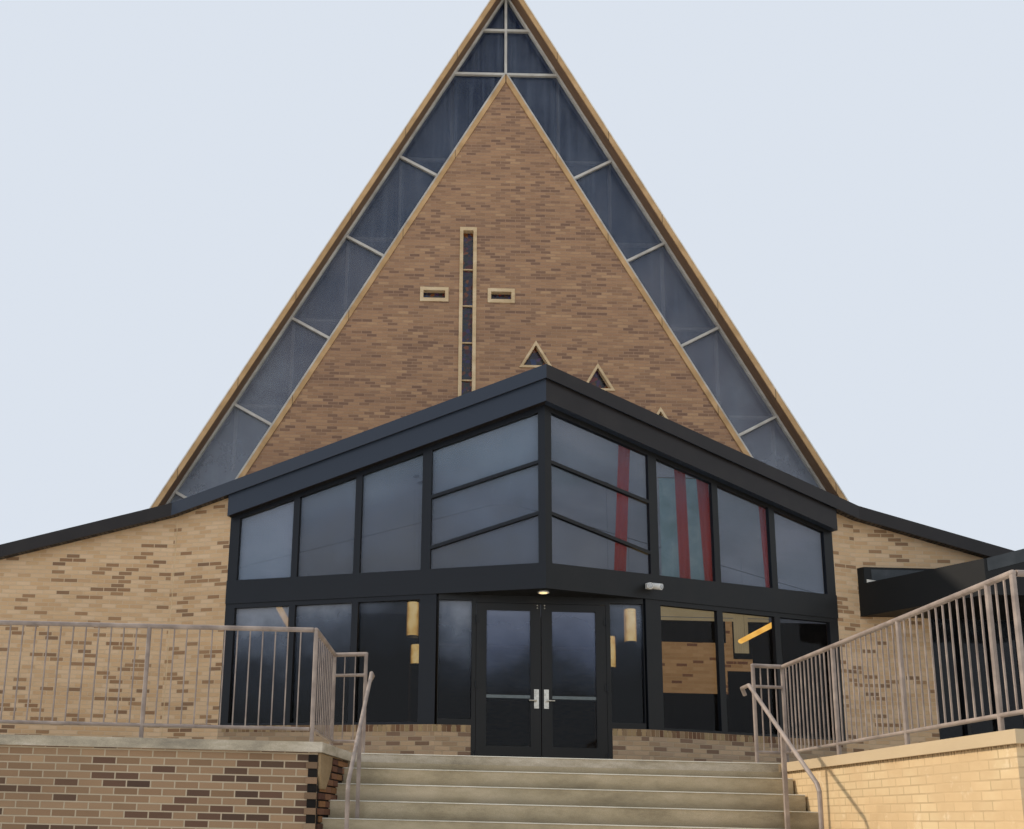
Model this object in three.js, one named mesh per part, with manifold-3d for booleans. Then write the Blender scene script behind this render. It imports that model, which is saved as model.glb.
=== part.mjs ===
// A-frame church with a low glazed entrance front, a raised terrace and a wide stair.
// Units are millimetres and +Z is up. The front faces -Y and +X is to the right.
// Heights in the constants are measured from the entrance landing.
// The whole group is lifted at the end, so that the ground lies at z = 0.
import * as THREE from 'three';
import { mergeGeometries, mergeVertices } from 'three/addons/utils/BufferGeometryUtils.js';
import Module from 'manifold-3d';

const wasm = await Module();
wasm.setup();

// Clearance between parts that touch
const GAP = 0.3;
const BIG = 30000;

// Stair and ground
const RISER = 165;
const TREAD = 260;
const RISERS = 12;
const GROUND = -RISER * RISERS;
const STAIR_RIGHT = 1930;
const STAIR_TOP_Y = -2950;

// Plan of the pointed front: two walls run back from the point at this angle
const PROW = THREE.MathUtils.degToRad(17);
const COS = Math.cos(PROW);
const SIN = Math.sin(PROW);
const DOOR_Y = 460;
const FRONT_CORNER = DOOR_Y / SIN;

// Distances along each pointed wall from its tip
const BAYS = [[100, 1680], [1820, 2770], [2870, 3780], [3880, 4790]];
const JAMB_END = 4950;
const COLUMN = [1570, 1820];
const WING_Y = { left: 1740, right: 1570 };
const WING_END = 10400;
const WALL = 250;

// Heights on the pointed walls
const KNEE_TOP = 665;
const SILL = 700;
const LOWER_HEAD = 2480;
const BAND = [2550, 2920];
const GLASS_TOP = (t) => 5215 - 0.268 * t;
const TRANSOMS = [(t) => 4435 - 0.256 * t, (t) => 3665 - 0.262 * t];

// Low gabled roof over the front, as height over distance from the middle
const LOW_SLOPE = 0.2845;
const LOW_TOP = 5832;
const LOW_DEPTH = 180;
const FASCIA_SPLIT = 5632;
const FASCIA_LOW = 5296;

// Steep roof and its gable
const GABLE_Y = 5175;
const REAR_Y = 21200;
const GABLE_WALL = 300;
const STEEP = 1.805;
const ROOF_APEX = 17960;
const ROOF_DEPTH = 210;
const EAVE_X = 8600;
const OVERHANG = 250;
const NAVE_X = 8400;
const COPING_SLOPE = 1.78;
const COPING_APEX = 15620;
const COPING_DEPTH = 200;

// Entrance doors, each on three butt hinges outside the frame
const HINGE_X = 930;
const HINGE_Y = DOOR_Y - 13;
const HINGE_ZS = [260, 1240, 2190];
const KNUCKLE = 40;
const LEAF_INNER = 5;
const LEAF_OUTER = 925;
const LEAF_TOP = 2435;
const LEAF_FOOT = 10;
const LEAF_THICK = 45;
const LEVER_X = 70;
const LEVER_Z = 1030;

// Side canopy on the right wing, with its small gable on top
const CANOPY_START = 5150;
const CANOPY_END = 8500;
const CANOPY_HEIGHTS = [2620, 3140];
const CANOPY_GABLE_X = 6190;

// Guards and handrails
const GUARD_TOP = 1065;
const BALUSTER_STEP = { left: 117, right: 91 };

// Terrace: the left corner beside the stair is acute, so its side runs askew
const TERRACE_FRONT = { left: -4180, right: -6550 };
const LEFT_CORNER_X = -2700;
const SKEW = 0.1626;
const RIGHT_WALL_X = 1950;
const CAP = 90;
const skewX = (y) => LEFT_CORNER_X + SKEW * (y - TERRACE_FRONT.left);

const finish = (color, roughness, metalness = 0) => new THREE.MeshStandardMaterial({
  color, roughness, metalness,
});
const BRICK = finish(0xc4a074, 0.9);
const ROSE_BRICK = finish(0xa5835f, 0.9);
const PAINTED_BRICK = finish(0xdcb97a, 0.8);
const CONCRETE = finish(0x9a9078, 0.92);
const BRONZE = finish(0x2b2b2e, 0.5, 0.3);
const TAN_METAL = finish(0xb8965a, 0.5, 0.2);
const GREY_METAL = finish(0xb9b4aa, 0.5, 0.2);
const GLASS = new THREE.MeshStandardMaterial({
  color: 0x3a4356, roughness: 0.08, metalness: 0, transparent: true, opacity: 0.5,
});
const CREAM = finish(0xc9b08c, 0.8);
const SHINGLE = finish(0x4a443e, 0.95);
const TAUPE = finish(0x8e7f7a, 0.5, 0.2);
const SATIN = finish(0xc8c4ba, 0.35, 0.9);
const WHITE = finish(0xe6e6e2, 0.5);

const group = new THREE.Group();
group.name = 'church';

// Turns a geometry's faces round where a mirrored matrix has been applied
function place(geometry, matrix) {
  geometry.applyMatrix4(matrix);
  if (matrix.determinant() < 0) {
    const index = geometry.index.array;
    for (let i = 0; i < index.length; i += 3) {
      const first = index[i];
      index[i] = index[i + 1];
      index[i + 1] = first;
    }
  }
  return geometry;
}

function clean(geometry) {
  const copy = geometry.clone();
  copy.deleteAttribute('normal');
  copy.deleteAttribute('uv');
  return mergeVertices(copy, 1e-4);
}

// Solids are kept as closed bodies for adding and cutting
function solid(geometry) {
  const closed = clean(geometry);
  return new wasm.Manifold(new wasm.Mesh({
    numProp: 3,
    vertProperties: new Float32Array(closed.attributes.position.array),
    triVerts: new Uint32Array(closed.index.array),
  }));
}

function toGeometry(body) {
  const mesh = body.getMesh();
  const geometry = new THREE.BufferGeometry();
  const positions = new Float32Array(mesh.vertProperties);
  geometry.setAttribute('position', new THREE.BufferAttribute(positions, 3));
  geometry.setIndex(new THREE.BufferAttribute(new Uint32Array(mesh.triVerts), 1));
  geometry.computeVertexNormals();
  return geometry;
}

const join = (bodies) => bodies.reduce((sum, body) => sum.add(body));

// Frames of reference: u and v lie in the face, w points out of it
const basis = (u, v, w, origin) => new THREE.Matrix4().makeBasis(
  new THREE.Vector3(...u), new THREE.Vector3(...v), new THREE.Vector3(...w),
).setPosition(...origin);
const PLAN = new THREE.Matrix4();
const facing = (y) => basis([1, 0, 0], [0, 0, 1], [0, -1, 0], [0, y, 0]);
const sideways = (x) => basis([0, 1, 0], [0, 0, 1], [1, 0, 0], [x, 0, 0]);
const prow = (side) => basis([side * COS, SIN, 0], [0, 0, 1], [side * SIN, -COS, 0], [0, 0, 0]);

// A flat outline pushed out from w = low to w = high
function slab(points, low, high, matrix = PLAN) {
  const shape = new THREE.Shape(points.map(([u, v]) => new THREE.Vector2(u, v)));
  const geometry = new THREE.ExtrudeGeometry(shape, { depth: high - low, bevelEnabled: false });
  geometry.translate(0, 0, low);
  return solid(place(mergeVertices(clean(geometry), 1e-4), matrix));
}

const rect = (u0, u1, v0, v1) => [[u0, v0], [u1, v0], [u1, v1], [u0, v1]];
const box = (x0, x1, y0, y1, z0, z1) => slab(rect(x0, x1, y0, y1), z0, z1);

// A round bar between two points
function rod(from, to, radius, sides = 12) {
  const a = new THREE.Vector3(...from);
  const b = new THREE.Vector3(...to);
  const geometry = new THREE.CylinderGeometry(radius, radius, a.distanceTo(b), sides);
  const turn = new THREE.Quaternion().setFromUnitVectors(
    new THREE.Vector3(0, 1, 0), b.clone().sub(a).normalize(),
  );
  geometry.applyQuaternion(turn);
  geometry.translate((a.x + b.x) / 2, (a.y + b.y) / 2, (a.z + b.z) / 2);
  return solid(geometry);
}

// A round bar bent along a run of points
function bentRod(points, radius, sides = 10) {
  const balls = points.slice(1, -1).map(([x, y, z]) => {
    const ball = new THREE.IcosahedronGeometry(radius * 1.02, 1);
    ball.translate(x, y, z);
    return solid(ball);
  });
  const bars = points.slice(1).map((to, i) => rod(points[i], to, radius, sides));
  return join([...bars, ...balls]);
}

function add(name, body, material, pivot = [0, 0, 0], parent = group) {
  const geometry = toGeometry(body);
  geometry.translate(-pivot[0], -pivot[1], -pivot[2]);
  const mesh = new THREE.Mesh(geometry, material);
  mesh.name = name;
  mesh.position.set(...pivot);
  parent.add(mesh);
  return mesh;
}

// Plan points of the front at an offset outside the wall line
const tipAt = (offset) => [0, -offset / COS];
const prowAt = (side, t, offset) => [side * (t * COS + offset * SIN), t * SIN - offset * COS];
function kinkAt(side, offset) {
  const y = (side < 0 ? WING_Y.left : WING_Y.right) - offset;
  const t = (y + offset * COS) / SIN;
  return prowAt(side, t, offset);
}
const frontLine = (side, offset, end) => [
  kinkAt(side, offset), [side * (end + offset), kinkAt(side, offset)[1]],
];

// The strip of plan between two offsets, from one pointed wall round to the other
function prowStrip(t, outer, inner) {
  return [prowAt(-1, t, inner), prowAt(-1, t, outer), tipAt(outer), prowAt(1, t, outer),
    prowAt(1, t, inner), tipAt(inner)];
}

// Space under or over the low roof's planes, at a height over the middle
function lowRoofBand(apexLow, apexHigh) {
  const reach = 12000;
  const low = apexLow - LOW_SLOPE * reach;
  const high = apexHigh - LOW_SLOPE * reach;
  return slab([[-reach, low], [0, apexLow], [reach, low], [reach, high], [0, apexHigh], [-reach, high]],
    -BIG, BIG, facing(0));
}
const underLowRoof = lowRoofBand(-BIG, LOW_TOP - LOW_DEPTH - GAP);

function steepLine(apex, x, slope = STEEP) {
  return [x, apex - slope * Math.abs(x)];
}

// Floor slab through the front part and the nave, between the walls that carry it
const floorOutline = [
  prowAt(-1, COLUMN[1], -WALL - GAP), kinkAt(-1, -WALL - GAP),
  [-WING_END + WALL + GAP, kinkAt(-1, -WALL - GAP)[1]], [-WING_END + WALL + GAP, GABLE_Y - WALL - GAP],
  [-NAVE_X, GABLE_Y - WALL - GAP], [-NAVE_X, GABLE_Y - GAP], [NAVE_X, GABLE_Y - GAP],
  [NAVE_X, GABLE_Y - WALL - GAP], [WING_END - WALL - GAP, GABLE_Y - WALL - GAP],
  [WING_END - WALL - GAP, kinkAt(1, -WALL - GAP)[1]], kinkAt(1, -WALL - GAP),
  prowAt(1, COLUMN[1], -WALL - GAP), [1430, DOOR_Y + 210], [-1430, DOOR_Y + 210],
];
const DOORWAY = 1800;
const doorStrip = slab(rect(-985, 985, DOOR_Y + 75, DOOR_Y + 400), -200, 0);
add('floor_slab', join([
  slab(floorOutline, -200, 0),
  doorStrip,
  box(-DOORWAY + GAP, DOORWAY - GAP, GABLE_Y - 10, GABLE_Y + GABLE_WALL + 10, -200, 0),
  box(-NAVE_X + GABLE_WALL + GAP, NAVE_X - GABLE_WALL - GAP, GABLE_Y + GABLE_WALL + GAP,
    REAR_Y - GABLE_WALL - GAP, -200, 0),
]), CONCRETE);

// Front gable wall of brick, with its doorway, cross window and three small triangles
const gableTop = COPING_APEX - COPING_DEPTH;
const shoulderX = (gableTop - LOW_TOP - 20) / (COPING_SLOPE - LOW_SLOPE);
const roofUnder = ROOF_APEX - ROOF_DEPTH - GAP;
const eaveMeetX = (roofUnder - LOW_TOP - 20) / (STEEP - LOW_SLOPE);
const lowLine = (x) => LOW_TOP + 20 - LOW_SLOPE * Math.abs(x);
const gableOutline = [
  [-NAVE_X, GROUND], [NAVE_X, GROUND], steepLine(roofUnder, NAVE_X), steepLine(roofUnder, eaveMeetX),
  [shoulderX, lowLine(shoulderX)], [0, gableTop], [-shoulderX, lowLine(shoulderX)],
  steepLine(roofUnder, -eaveMeetX), steepLine(roofUnder, -NAVE_X),
];
const CROSS_X = -790;
const CROSS_WINDOWS = {
  cross_window_stem: { x: CROSS_X, z: 9200, w: 360, h: 5200, pane: 845 },
  cross_window_arm_left: { x: CROSS_X - 705, z: 10210, w: 600, h: 330, pane: 0 },
  cross_window_arm_right: { x: CROSS_X + 705, z: 10210, w: 570, h: 330, pane: 0 },
};
const TRIANGLES = [[640, 8590], [1920, 8110], [3190, 7170]];
const TRIANGLE_HALF = 350;
const TRIANGLE_RISE = 610;
const triangle = (x, z, inset) => [
  [x - TRIANGLE_HALF + inset * 1.7, z + inset], [x + TRIANGLE_HALF - inset * 1.7, z + inset],
  [x, z + TRIANGLE_RISE - inset * 2],
];
const gable = facing(GABLE_Y);
let gableWall = slab(gableOutline, -GABLE_WALL, 0, gable);
const holes = [slab(rect(-DOORWAY, DOORWAY, -205, 2700), -BIG, BIG, facing(0))];
for (const { x, z, w, h } of Object.values(CROSS_WINDOWS)) {
  holes.push(slab(rect(x - w / 2, x + w / 2, z - h / 2, z + h / 2), -GABLE_WALL - 5, 5, gable));
}
for (const [x, z] of TRIANGLES) {
  holes.push(slab(triangle(x, z, 0), -GABLE_WALL - 5, 5, gable));
}
gableWall = gableWall.subtract(join(holes));
add('gable_wall_front', gableWall, ROSE_BRICK);

// Window units: a surround with its leaded glass, set in each hole of the gable
for (const [name, { x, z, w, h, pane }] of Object.entries(CROSS_WINDOWS)) {
  const outer = rect(x - w / 2 + GAP, x + w / 2 - GAP, z - h / 2 + GAP, z + h / 2 - GAP);
  const inner = rect(x - w / 2 + 72, x + w / 2 - 72, z - h / 2 + 80, z + h / 2 - 75);
  const parts = [slab(outer, -180, 22, gable).subtract(slab(inner, -185, 27, gable)),
    slab(inner, -120, -100, gable)];
  for (let bar = z + h / 2 - 110 - pane; pane && bar > z - h / 2 + 100; bar -= pane) {
    parts.push(slab(rect(x - w / 2 + 60, x + w / 2 - 60, bar - 14, bar + 14), -125, -60, gable));
  }
  add(name, join(parts), CREAM);
}
TRIANGLES.forEach(([x, z], i) => {
  const ring = slab(triangle(x, z, GAP), -180, 22, gable)
    .subtract(slab(triangle(x, z, 50), -185, 27, gable));
  add(`triangle_window_${i + 1}`, ring.add(slab(triangle(x, z, 48), -120, -100, gable)), CREAM);
});

// Metal coping on the raking top of the brick gable
const copingEndX = (COPING_APEX - LOW_TOP - 20) / (COPING_SLOPE - LOW_SLOPE);
const copingFoot = (gableTop + GAP - LOW_TOP - 20) / (COPING_SLOPE - LOW_SLOPE);
const coping = slab([
  [-copingFoot, lowLine(copingFoot)], [0, gableTop + GAP], [copingFoot, lowLine(copingFoot)],
  [copingEndX, lowLine(copingEndX)], [0, COPING_APEX], [-copingEndX, lowLine(copingEndX)],
], -GABLE_WALL - 15, 25, gable);
add('gable_coping', coping, TAN_METAL);

// Raking band of glazing between the coping and the steep roof
const BAR = 56;
const RING = 45;
const bandOuter = roofUnder;
const bandInner = COPING_APEX + GAP;
function bandOutline(outer, inner, lift) {
  const footOut = (outer - LOW_TOP - 20 - lift) / (STEEP - LOW_SLOPE);
  const footIn = (inner - LOW_TOP - 20 - lift) / (COPING_SLOPE - LOW_SLOPE);
  return [
    [-footIn, lowLine(footIn) + lift], [0, inner], [footIn, lowLine(footIn) + lift],
    [footOut, lowLine(footOut) + lift], [0, outer], [-footOut, lowLine(footOut) + lift],
  ];
}
const ringSteep = RING * Math.hypot(1, STEEP);
const frameParts = [
  slab(bandOutline(bandOuter - GAP, bandInner, 0), -190, 0, gable)
    .subtract(slab(bandOutline(bandOuter - ringSteep, bandInner + ringSteep, RING), -195, 5, gable)),
];
const bandFace = slab(bandOutline(bandOuter - 20, bandInner + 20, 10), -BIG, BIG, gable);
const frontBars = [slab(rect(-BAR / 2, BAR / 2, 15600, 17740), -62, -10, gable)];
for (const z of [16780, 15640]) {
  frontBars.push(slab(rect(-2000, 2000, z - BAR / 2, z + BAR / 2), -62, -10, gable));
}
const backBars = [];
const slopeLength = Math.hypot(1, STEEP);
for (const side of [-1, 1]) {
  for (const outX of [2335, 3425, 4500, 5590, 6660]) {
    const outZ = ROOF_APEX - ROOF_DEPTH - STEEP * outX;
    const across = [-side * STEEP / slopeLength, -1 / slopeLength];
    const along = [side / slopeLength, -STEEP / slopeLength];
    const corner = (s, r) => [
      side * outX + across[0] * s + along[0] * r, outZ + across[1] * s + along[1] * r,
    ];
    frontBars.push(slab([corner(-60, -BAR / 2), corner(1150, -BAR / 2), corner(1150, BAR / 2),
      corner(-60, BAR / 2)], -62, -10, gable));
    backBars.push(slab(rect(side * 8000, side * 10, outZ - 30, outZ + 30), -180, -110, gable));
  }
  for (const x of [1170, 2275, 3365, 4440, 5530]) {
    backBars.push(slab(rect(side * x - 30, side * x + 30, 4000, 17000), -180, -110, gable));
  }
}
add('gable_glazing_bars', join([...frameParts,
  join(frontBars).intersect(bandFace), join(backBars).intersect(bandFace)]), GREY_METAL);
add('gable_glass', slab(
  bandOutline(bandOuter - ringSteep - GAP * 4, bandInner + ringSteep + GAP * 4, RING + 1), -100, -72, gable,
), GLASS);

// Rear gable and side walls of the nave
const rearOutline = [
  [-NAVE_X, GROUND], [NAVE_X, GROUND], steepLine(roofUnder, NAVE_X), [0, roofUnder],
  steepLine(roofUnder, -NAVE_X),
];
add('gable_wall_rear', slab(rearOutline, 0, GABLE_WALL, facing(REAR_Y)), ROSE_BRICK);
for (const [name, side] of [['nave_wall_left', -1], ['nave_wall_right', 1]]) {
  const profile = [
    [side * NAVE_X, GROUND], [side * (NAVE_X - GABLE_WALL), GROUND],
    steepLine(roofUnder, side * (NAVE_X - GABLE_WALL)), steepLine(roofUnder, side * NAVE_X),
  ];
  add(name, slab(profile, -(REAR_Y - GABLE_WALL - GAP), -(GABLE_Y + GABLE_WALL + GAP), facing(0)), BRICK);
}

// Steep roof: two slabs, a ridge cap and the boards along the gable edges
const aboveLow = lowRoofBand(LOW_TOP + 22, BIG);
for (const [name, side] of [['nave_roof_left', -1], ['nave_roof_right', 1]]) {
  const near = side * GAP;
  const profile = [
    steepLine(ROOF_APEX - ROOF_DEPTH, near), steepLine(ROOF_APEX - ROOF_DEPTH, side * EAVE_X),
    steepLine(ROOF_APEX, side * EAVE_X), steepLine(ROOF_APEX, near),
  ];
  const front = slab(profile, -GABLE_Y, -(GABLE_Y - OVERHANG), facing(0)).intersect(aboveLow);
  const back = slab(profile, -(REAR_Y + OVERHANG), -GABLE_Y, facing(0));
  add(name, join([front, back]), SHINGLE);
}
const capLeg = 230;
const capRise = 10 * Math.hypot(1, STEEP);
add('ridge_cap', slab([
  steepLine(ROOF_APEX + 1, capLeg), steepLine(ROOF_APEX + 1 + capRise, capLeg),
  [0, ROOF_APEX + 1 + capRise], steepLine(ROOF_APEX + 1 + capRise, -capLeg),
  steepLine(ROOF_APEX + 1, -capLeg), [0, ROOF_APEX + 1],
], -(REAR_Y + OVERHANG), -(GABLE_Y - OVERHANG), facing(0)), SHINGLE);
const boardOutline = [
  steepLine(ROOF_APEX - ROOF_DEPTH - 10, EAVE_X), steepLine(ROOF_APEX + 26, EAVE_X), [0, ROOF_APEX + 26],
  steepLine(ROOF_APEX + 26, -EAVE_X), steepLine(ROOF_APEX - ROOF_DEPTH - 10, -EAVE_X),
  [0, ROOF_APEX - ROOF_DEPTH - 10],
];
add('gable_board_front', slab(boardOutline, GAP, 28, facing(GABLE_Y - OVERHANG)).intersect(aboveLow),
  TAN_METAL);
add('gable_board_rear', slab(boardOutline, -28, -GAP, facing(REAR_Y + OVERHANG)), TAN_METAL);

// Low gabled roof over the entrance front
const lowPlan = [
  tipAt(150), ...frontLine(1, 150, WING_END), [WING_END + 150, GABLE_Y - GAP],
  [-WING_END - 150, GABLE_Y - GAP], ...frontLine(-1, 150, WING_END).reverse(),
];
add('front_roof', slab(lowPlan, 0, 8000).intersect(lowRoofBand(LOW_TOP - LOW_DEPTH, LOW_TOP)), SHINGLE);
const fasciaPlan = [
  tipAt(170), ...frontLine(1, 170, WING_END), [WING_END + 170, GABLE_Y - GAP],
  [WING_END + 150 + GAP, GABLE_Y - GAP], ...frontLine(1, 150 + GAP, WING_END).reverse(), tipAt(150 + GAP),
  ...frontLine(-1, 150 + GAP, WING_END), [-WING_END - 150 - GAP, GABLE_Y - GAP],
  [-WING_END - 170, GABLE_Y - GAP], ...frontLine(-1, 170, WING_END).reverse(),
];
add('fascia_upper', slab(fasciaPlan, 0, 8000).intersect(lowRoofBand(FASCIA_SPLIT, LOW_TOP + 12)), BRONZE);
add('fascia_lower', slab(prowStrip(4950, 125, GAP), 0, 8000)
  .intersect(lowRoofBand(FASCIA_LOW, LOW_TOP - LOW_DEPTH - GAP)), BRONZE);

// Brick wings: the stub of each pointed wall, the front, the end and the back behind it
const OPENING_RIGHT = { x0: 6220, x1: 8200, z1: 2700 };
for (const [name, side] of [['wing_wall_left', -1], ['wing_wall_right', 1]]) {
  const strip = [
    prowAt(side, JAMB_END + GAP, 0), kinkAt(side, 0), [side * WING_END, kinkAt(side, 0)[1]],
    [side * WING_END, GABLE_Y - GAP], [side * (NAVE_X + GAP), GABLE_Y - GAP],
    [side * (NAVE_X + GAP), GABLE_Y - WALL], [side * (WING_END - WALL), GABLE_Y - WALL],
    [side * (WING_END - WALL), kinkAt(side, -WALL)[1]], kinkAt(side, -WALL),
    prowAt(side, JAMB_END + GAP, -WALL),
  ];
  let wall = slab(strip, GROUND, 6000).intersect(underLowRoof);
  if (side > 0) {
    const { x0, x1, z1 } = OPENING_RIGHT;
    wall = wall.subtract(box(x0, x1, WING_Y.right - 50, WING_Y.right + WALL + 50, 0, z1));
  }
  add(name, wall, BRICK);
}

// Knee walls under the glass, turning the corner beside the doors
for (const [name, side] of [['knee_wall_left', -1], ['knee_wall_right', 1]]) {
  const plan = [
    [side * 993, DOOR_Y], [side * FRONT_CORNER * COS, DOOR_Y], prowAt(side, JAMB_END, 0),
    prowAt(side, JAMB_END, -200), prowAt(side, FRONT_CORNER + 60, -200), [side * 993, DOOR_Y + 200],
  ];
  add(name, slab(plan, GROUND, KNEE_TOP), BRICK);
}

// Lower window walls, one on each side, with the heavy column at the front corner
const GLASS_BACK = -84;
const GLASS_FACE = -72;
for (const [name, side] of [['lower_window_frame_left', -1], ['lower_window_frame_right', 1]]) {
  const at = prow(side);
  const top = BAND[0] + 170;
  const parts = [
    slab(rect(COLUMN[0] + 4, JAMB_END, KNEE_TOP + GAP, top), -70, 0, at),
    slab(rect(COLUMN[0] + 4, COLUMN[1], KNEE_TOP + GAP, top), -150, 0, at),
  ];
  const openings = BAYS.slice(1).map(([a, b]) => slab(rect(a, b, SILL, LOWER_HEAD), -75, 5, at));
  add(name, parts[0].subtract(join(openings)).add(parts[1]), BRONZE);
  add(name.replace('window_frame', 'glass'), slab(
    rect(COLUMN[1] + 1, JAMB_END - 20, SILL - 25, LOWER_HEAD + 40), GLASS_BACK, -70 - GAP, at,
  ), GLASS);
}

// Upper window wall: one frame round the point, with sloping transoms in the corner bays
const headLine = (t) => LOW_TOP - LOW_DEPTH - LOW_SLOPE * COS * t - 60;
const upperSides = [];
const upperGlassSides = [];
for (const side of [-1, 1]) {
  const at = prow(side);
  const half = slab(side > 0 ? rect(-0.5, BIG, -BIG, BIG) : rect(-BIG, 0.5, -BIG, BIG), -BIG, BIG);
  const whole = slab([[-400, BAND[1] - 185], [JAMB_END, BAND[1] - 185], [JAMB_END, headLine(JAMB_END)],
    [-400, headLine(-400)]], -70, 0, at);
  const openings = BAYS.map(([a, b]) => slab([[a, BAND[1]], [b, BAND[1]], [b, GLASS_TOP(b)],
    [a, GLASS_TOP(a)]], -75, 5, at));
  const [a, b] = BAYS[0];
  const transoms = TRANSOMS.map((line) => slab([[a - 5, line(a)], [b + 5, line(b)], [b + 5, line(b) + 50],
    [a - 5, line(a) + 50]], -65, -2, at));
  upperSides.push(join([whole.subtract(join(openings)), ...transoms]).intersect(half));
  const sheet = slab([[-400, BAND[1] - 40], [JAMB_END - 20, BAND[1] - 40],
    [JAMB_END - 20, GLASS_TOP(JAMB_END) + 40], [-400, GLASS_TOP(-400) + 40]], GLASS_BACK, -70 - GAP, at);
  upperGlassSides.push(sheet.intersect(half));
}
add('upper_window_frame', join(upperSides).intersect(underLowRoof), BRONZE);
add('upper_glass', join(upperGlassSides), GLASS);

// Panel band between the storeys, and the soffit under the overhanging point
add('spandrel_band', slab(prowStrip(JAMB_END, 15, GAP), BAND[0], BAND[1]), BRONZE);
const soffitPlan = [
  tipAt(0), prowAt(1, COLUMN[0] - 1, 0), [FRONT_CORNER * COS - 60, DOOR_Y + 150],
  [-FRONT_CORNER * COS + 60, DOOR_Y + 150], prowAt(-1, COLUMN[0] - 1, 0),
];
add('point_soffit', slab(soffitPlan, BAND[0], BAND[1] - 185 - GAP), BRONZE);
add('downlight', rod([0, 220, BAND[0] - GAP], [0, 220, BAND[0] - 12], 80, 24), WHITE);

// Entrance: fixed frame with two side panes
const FRAME_X = 1470;
const doorFront = facing(DOOR_Y);
const hingeRod = (side, z0, z1, radius) => rod(
  [side * HINGE_X, HINGE_Y, z0], [side * HINGE_X, HINGE_Y, z1], radius, 16,
);
const hingePins = [-1, 1].flatMap((side) => HINGE_ZS.flatMap((z) => [
  hingeRod(side, z - 58, z + 58, 6),
  ...[-49.25, 49.25].flatMap((lift) => [
    hingeRod(side, z + lift - 8.75, z + lift + 8.75, 11),
    slab(rect(side * 935, side * 965, z + lift - 8.75, z + lift + 8.75), -1, 11, doorFront),
  ]),
]));
const entrance = slab(rect(-FRAME_X, FRAME_X, KNEE_TOP + GAP, BAND[0] - GAP), -70, 0, doorFront)
  .add(slab(rect(-990, 990, 0.3, BAND[0] - GAP), -70, 0, doorFront))
  .subtract(join([
    slab(rect(-930, 930, -5, 2440), -75, 5, doorFront),
    slab(rect(990, 1462, 750, 2470), -75, 5, doorFront),
    slab(rect(-1462, -990, 750, 2470), -75, 5, doorFront),
  ]));
const threshold = slab(rect(-940, 940, GAP, 4), -70, 0, doorFront);
add('entrance_frame', join([entrance, threshold, ...hingePins]), BRONZE);
for (const [name, side] of [['side_pane_left', -1], ['side_pane_right', 1]]) {
  add(name, slab(rect(side * 975, side * 1466, 725, 2500), -83, -70 - GAP, doorFront), GLASS);
}

// Door leaves hang on the outer jambs and open outward, with a lever handle each
for (const [name, side] of [['left', -1], ['right', 1]]) {
  const pivot = [side * HINGE_X, HINGE_Y, LEAF_FOOT];
  const outer = slab(rect(side * LEAF_INNER, side * LEAF_OUTER, LEAF_FOOT, LEAF_TOP),
    -LEAF_THICK, 0, doorFront);
  const pane = slab(rect(side * 155, side * 778, 385, 2330), -LEAF_THICK - 5, 5, doorFront);
  const plate = slab(rect(side * (LEVER_X - 31), side * (LEVER_X + 31), 925, 1190), -10, 5, doorFront);
  const bore = rod([side * LEVER_X, DOOR_Y - 20, LEVER_Z], [side * LEVER_X, DOOR_Y + 80, LEVER_Z],
    9.5, 16);
  const knuckles = HINGE_ZS.flatMap((z) => [hingeRod(side, z - KNUCKLE, z + KNUCKLE, 11),
    slab(rect(side * 895, side * 925, z - KNUCKLE, z + KNUCKLE), -1, 11, doorFront)]);
  const hingeBores = HINGE_ZS.map((z) => hingeRod(side, z - KNUCKLE - 5, z + KNUCKLE + 5, 6.4));
  const barZ = 1075;
  const pushBar = join([
    slab(rect(side * 60, side * 880, barZ - 35, barZ + 35), -105, -65, doorFront),
    slab(rect(side * 90, side * 140, barZ - 30, barZ + 30), -70, -LEAF_THICK + 5, doorFront),
    slab(rect(side * 800, side * 860, barZ - 30, barZ + 30), -70, -LEAF_THICK + 5, doorFront),
  ]);
  const leaf = join([outer.subtract(pane), plate, pushBar, ...knuckles])
    .subtract(join([bore, ...hingeBores]));
  add(`door_leaf_${name}`, leaf, BRONZE, pivot);
  add(`door_glass_${name}`, slab(rect(side * (155 + GAP), side * (778 - GAP), 385 + GAP, 2330 - GAP),
    -30, -18, doorFront), GLASS, pivot);
  const grip = join([
    rod([side * LEVER_X, DOOR_Y + 30, LEVER_Z], [side * LEVER_X, DOOR_Y - 62, LEVER_Z], 9, 16),
    rod([side * LEVER_X, DOOR_Y - 6, LEVER_Z], [side * LEVER_X, DOOR_Y - 14, LEVER_Z], 24, 20),
    rod([side * LEVER_X, DOOR_Y - 55, LEVER_Z], [side * (LEVER_X + 112), DOOR_Y - 55, LEVER_Z], 9, 12),
  ]);
  add(`door_lever_${name}`, grip, SATIN, [side * LEVER_X, DOOR_Y, LEVER_Z]);
}

// Retaining walls under the terrace, with the painted one along the stair
const leftEdge = -WING_END;
const rightEdge = WING_END;
const backY = STAIR_TOP_Y + 300;
add('retaining_wall_left', slab([
  [leftEdge, WING_Y.left - GAP], [leftEdge, TERRACE_FRONT.left], [LEFT_CORNER_X, TERRACE_FRONT.left],
  [skewX(backY), backY], [skewX(backY) - 250, backY], [LEFT_CORNER_X - 204, TERRACE_FRONT.left + 300],
  [leftEdge + 300, TERRACE_FRONT.left + 300], [leftEdge + 300, WING_Y.left - GAP],
], GROUND, -CAP - GAP), BRICK);
add('retaining_wall_right', slab([
  [RIGHT_WALL_X, backY], [RIGHT_WALL_X, TERRACE_FRONT.right], [rightEdge, TERRACE_FRONT.right],
  [rightEdge, WING_Y.right - GAP], [rightEdge - 300, WING_Y.right - GAP],
  [rightEdge - 300, TERRACE_FRONT.right + 300], [RIGHT_WALL_X + 300, TERRACE_FRONT.right + 300],
  [RIGHT_WALL_X + 300, backY],
], GROUND, -CAP - GAP), PAINTED_BRICK);

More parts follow.
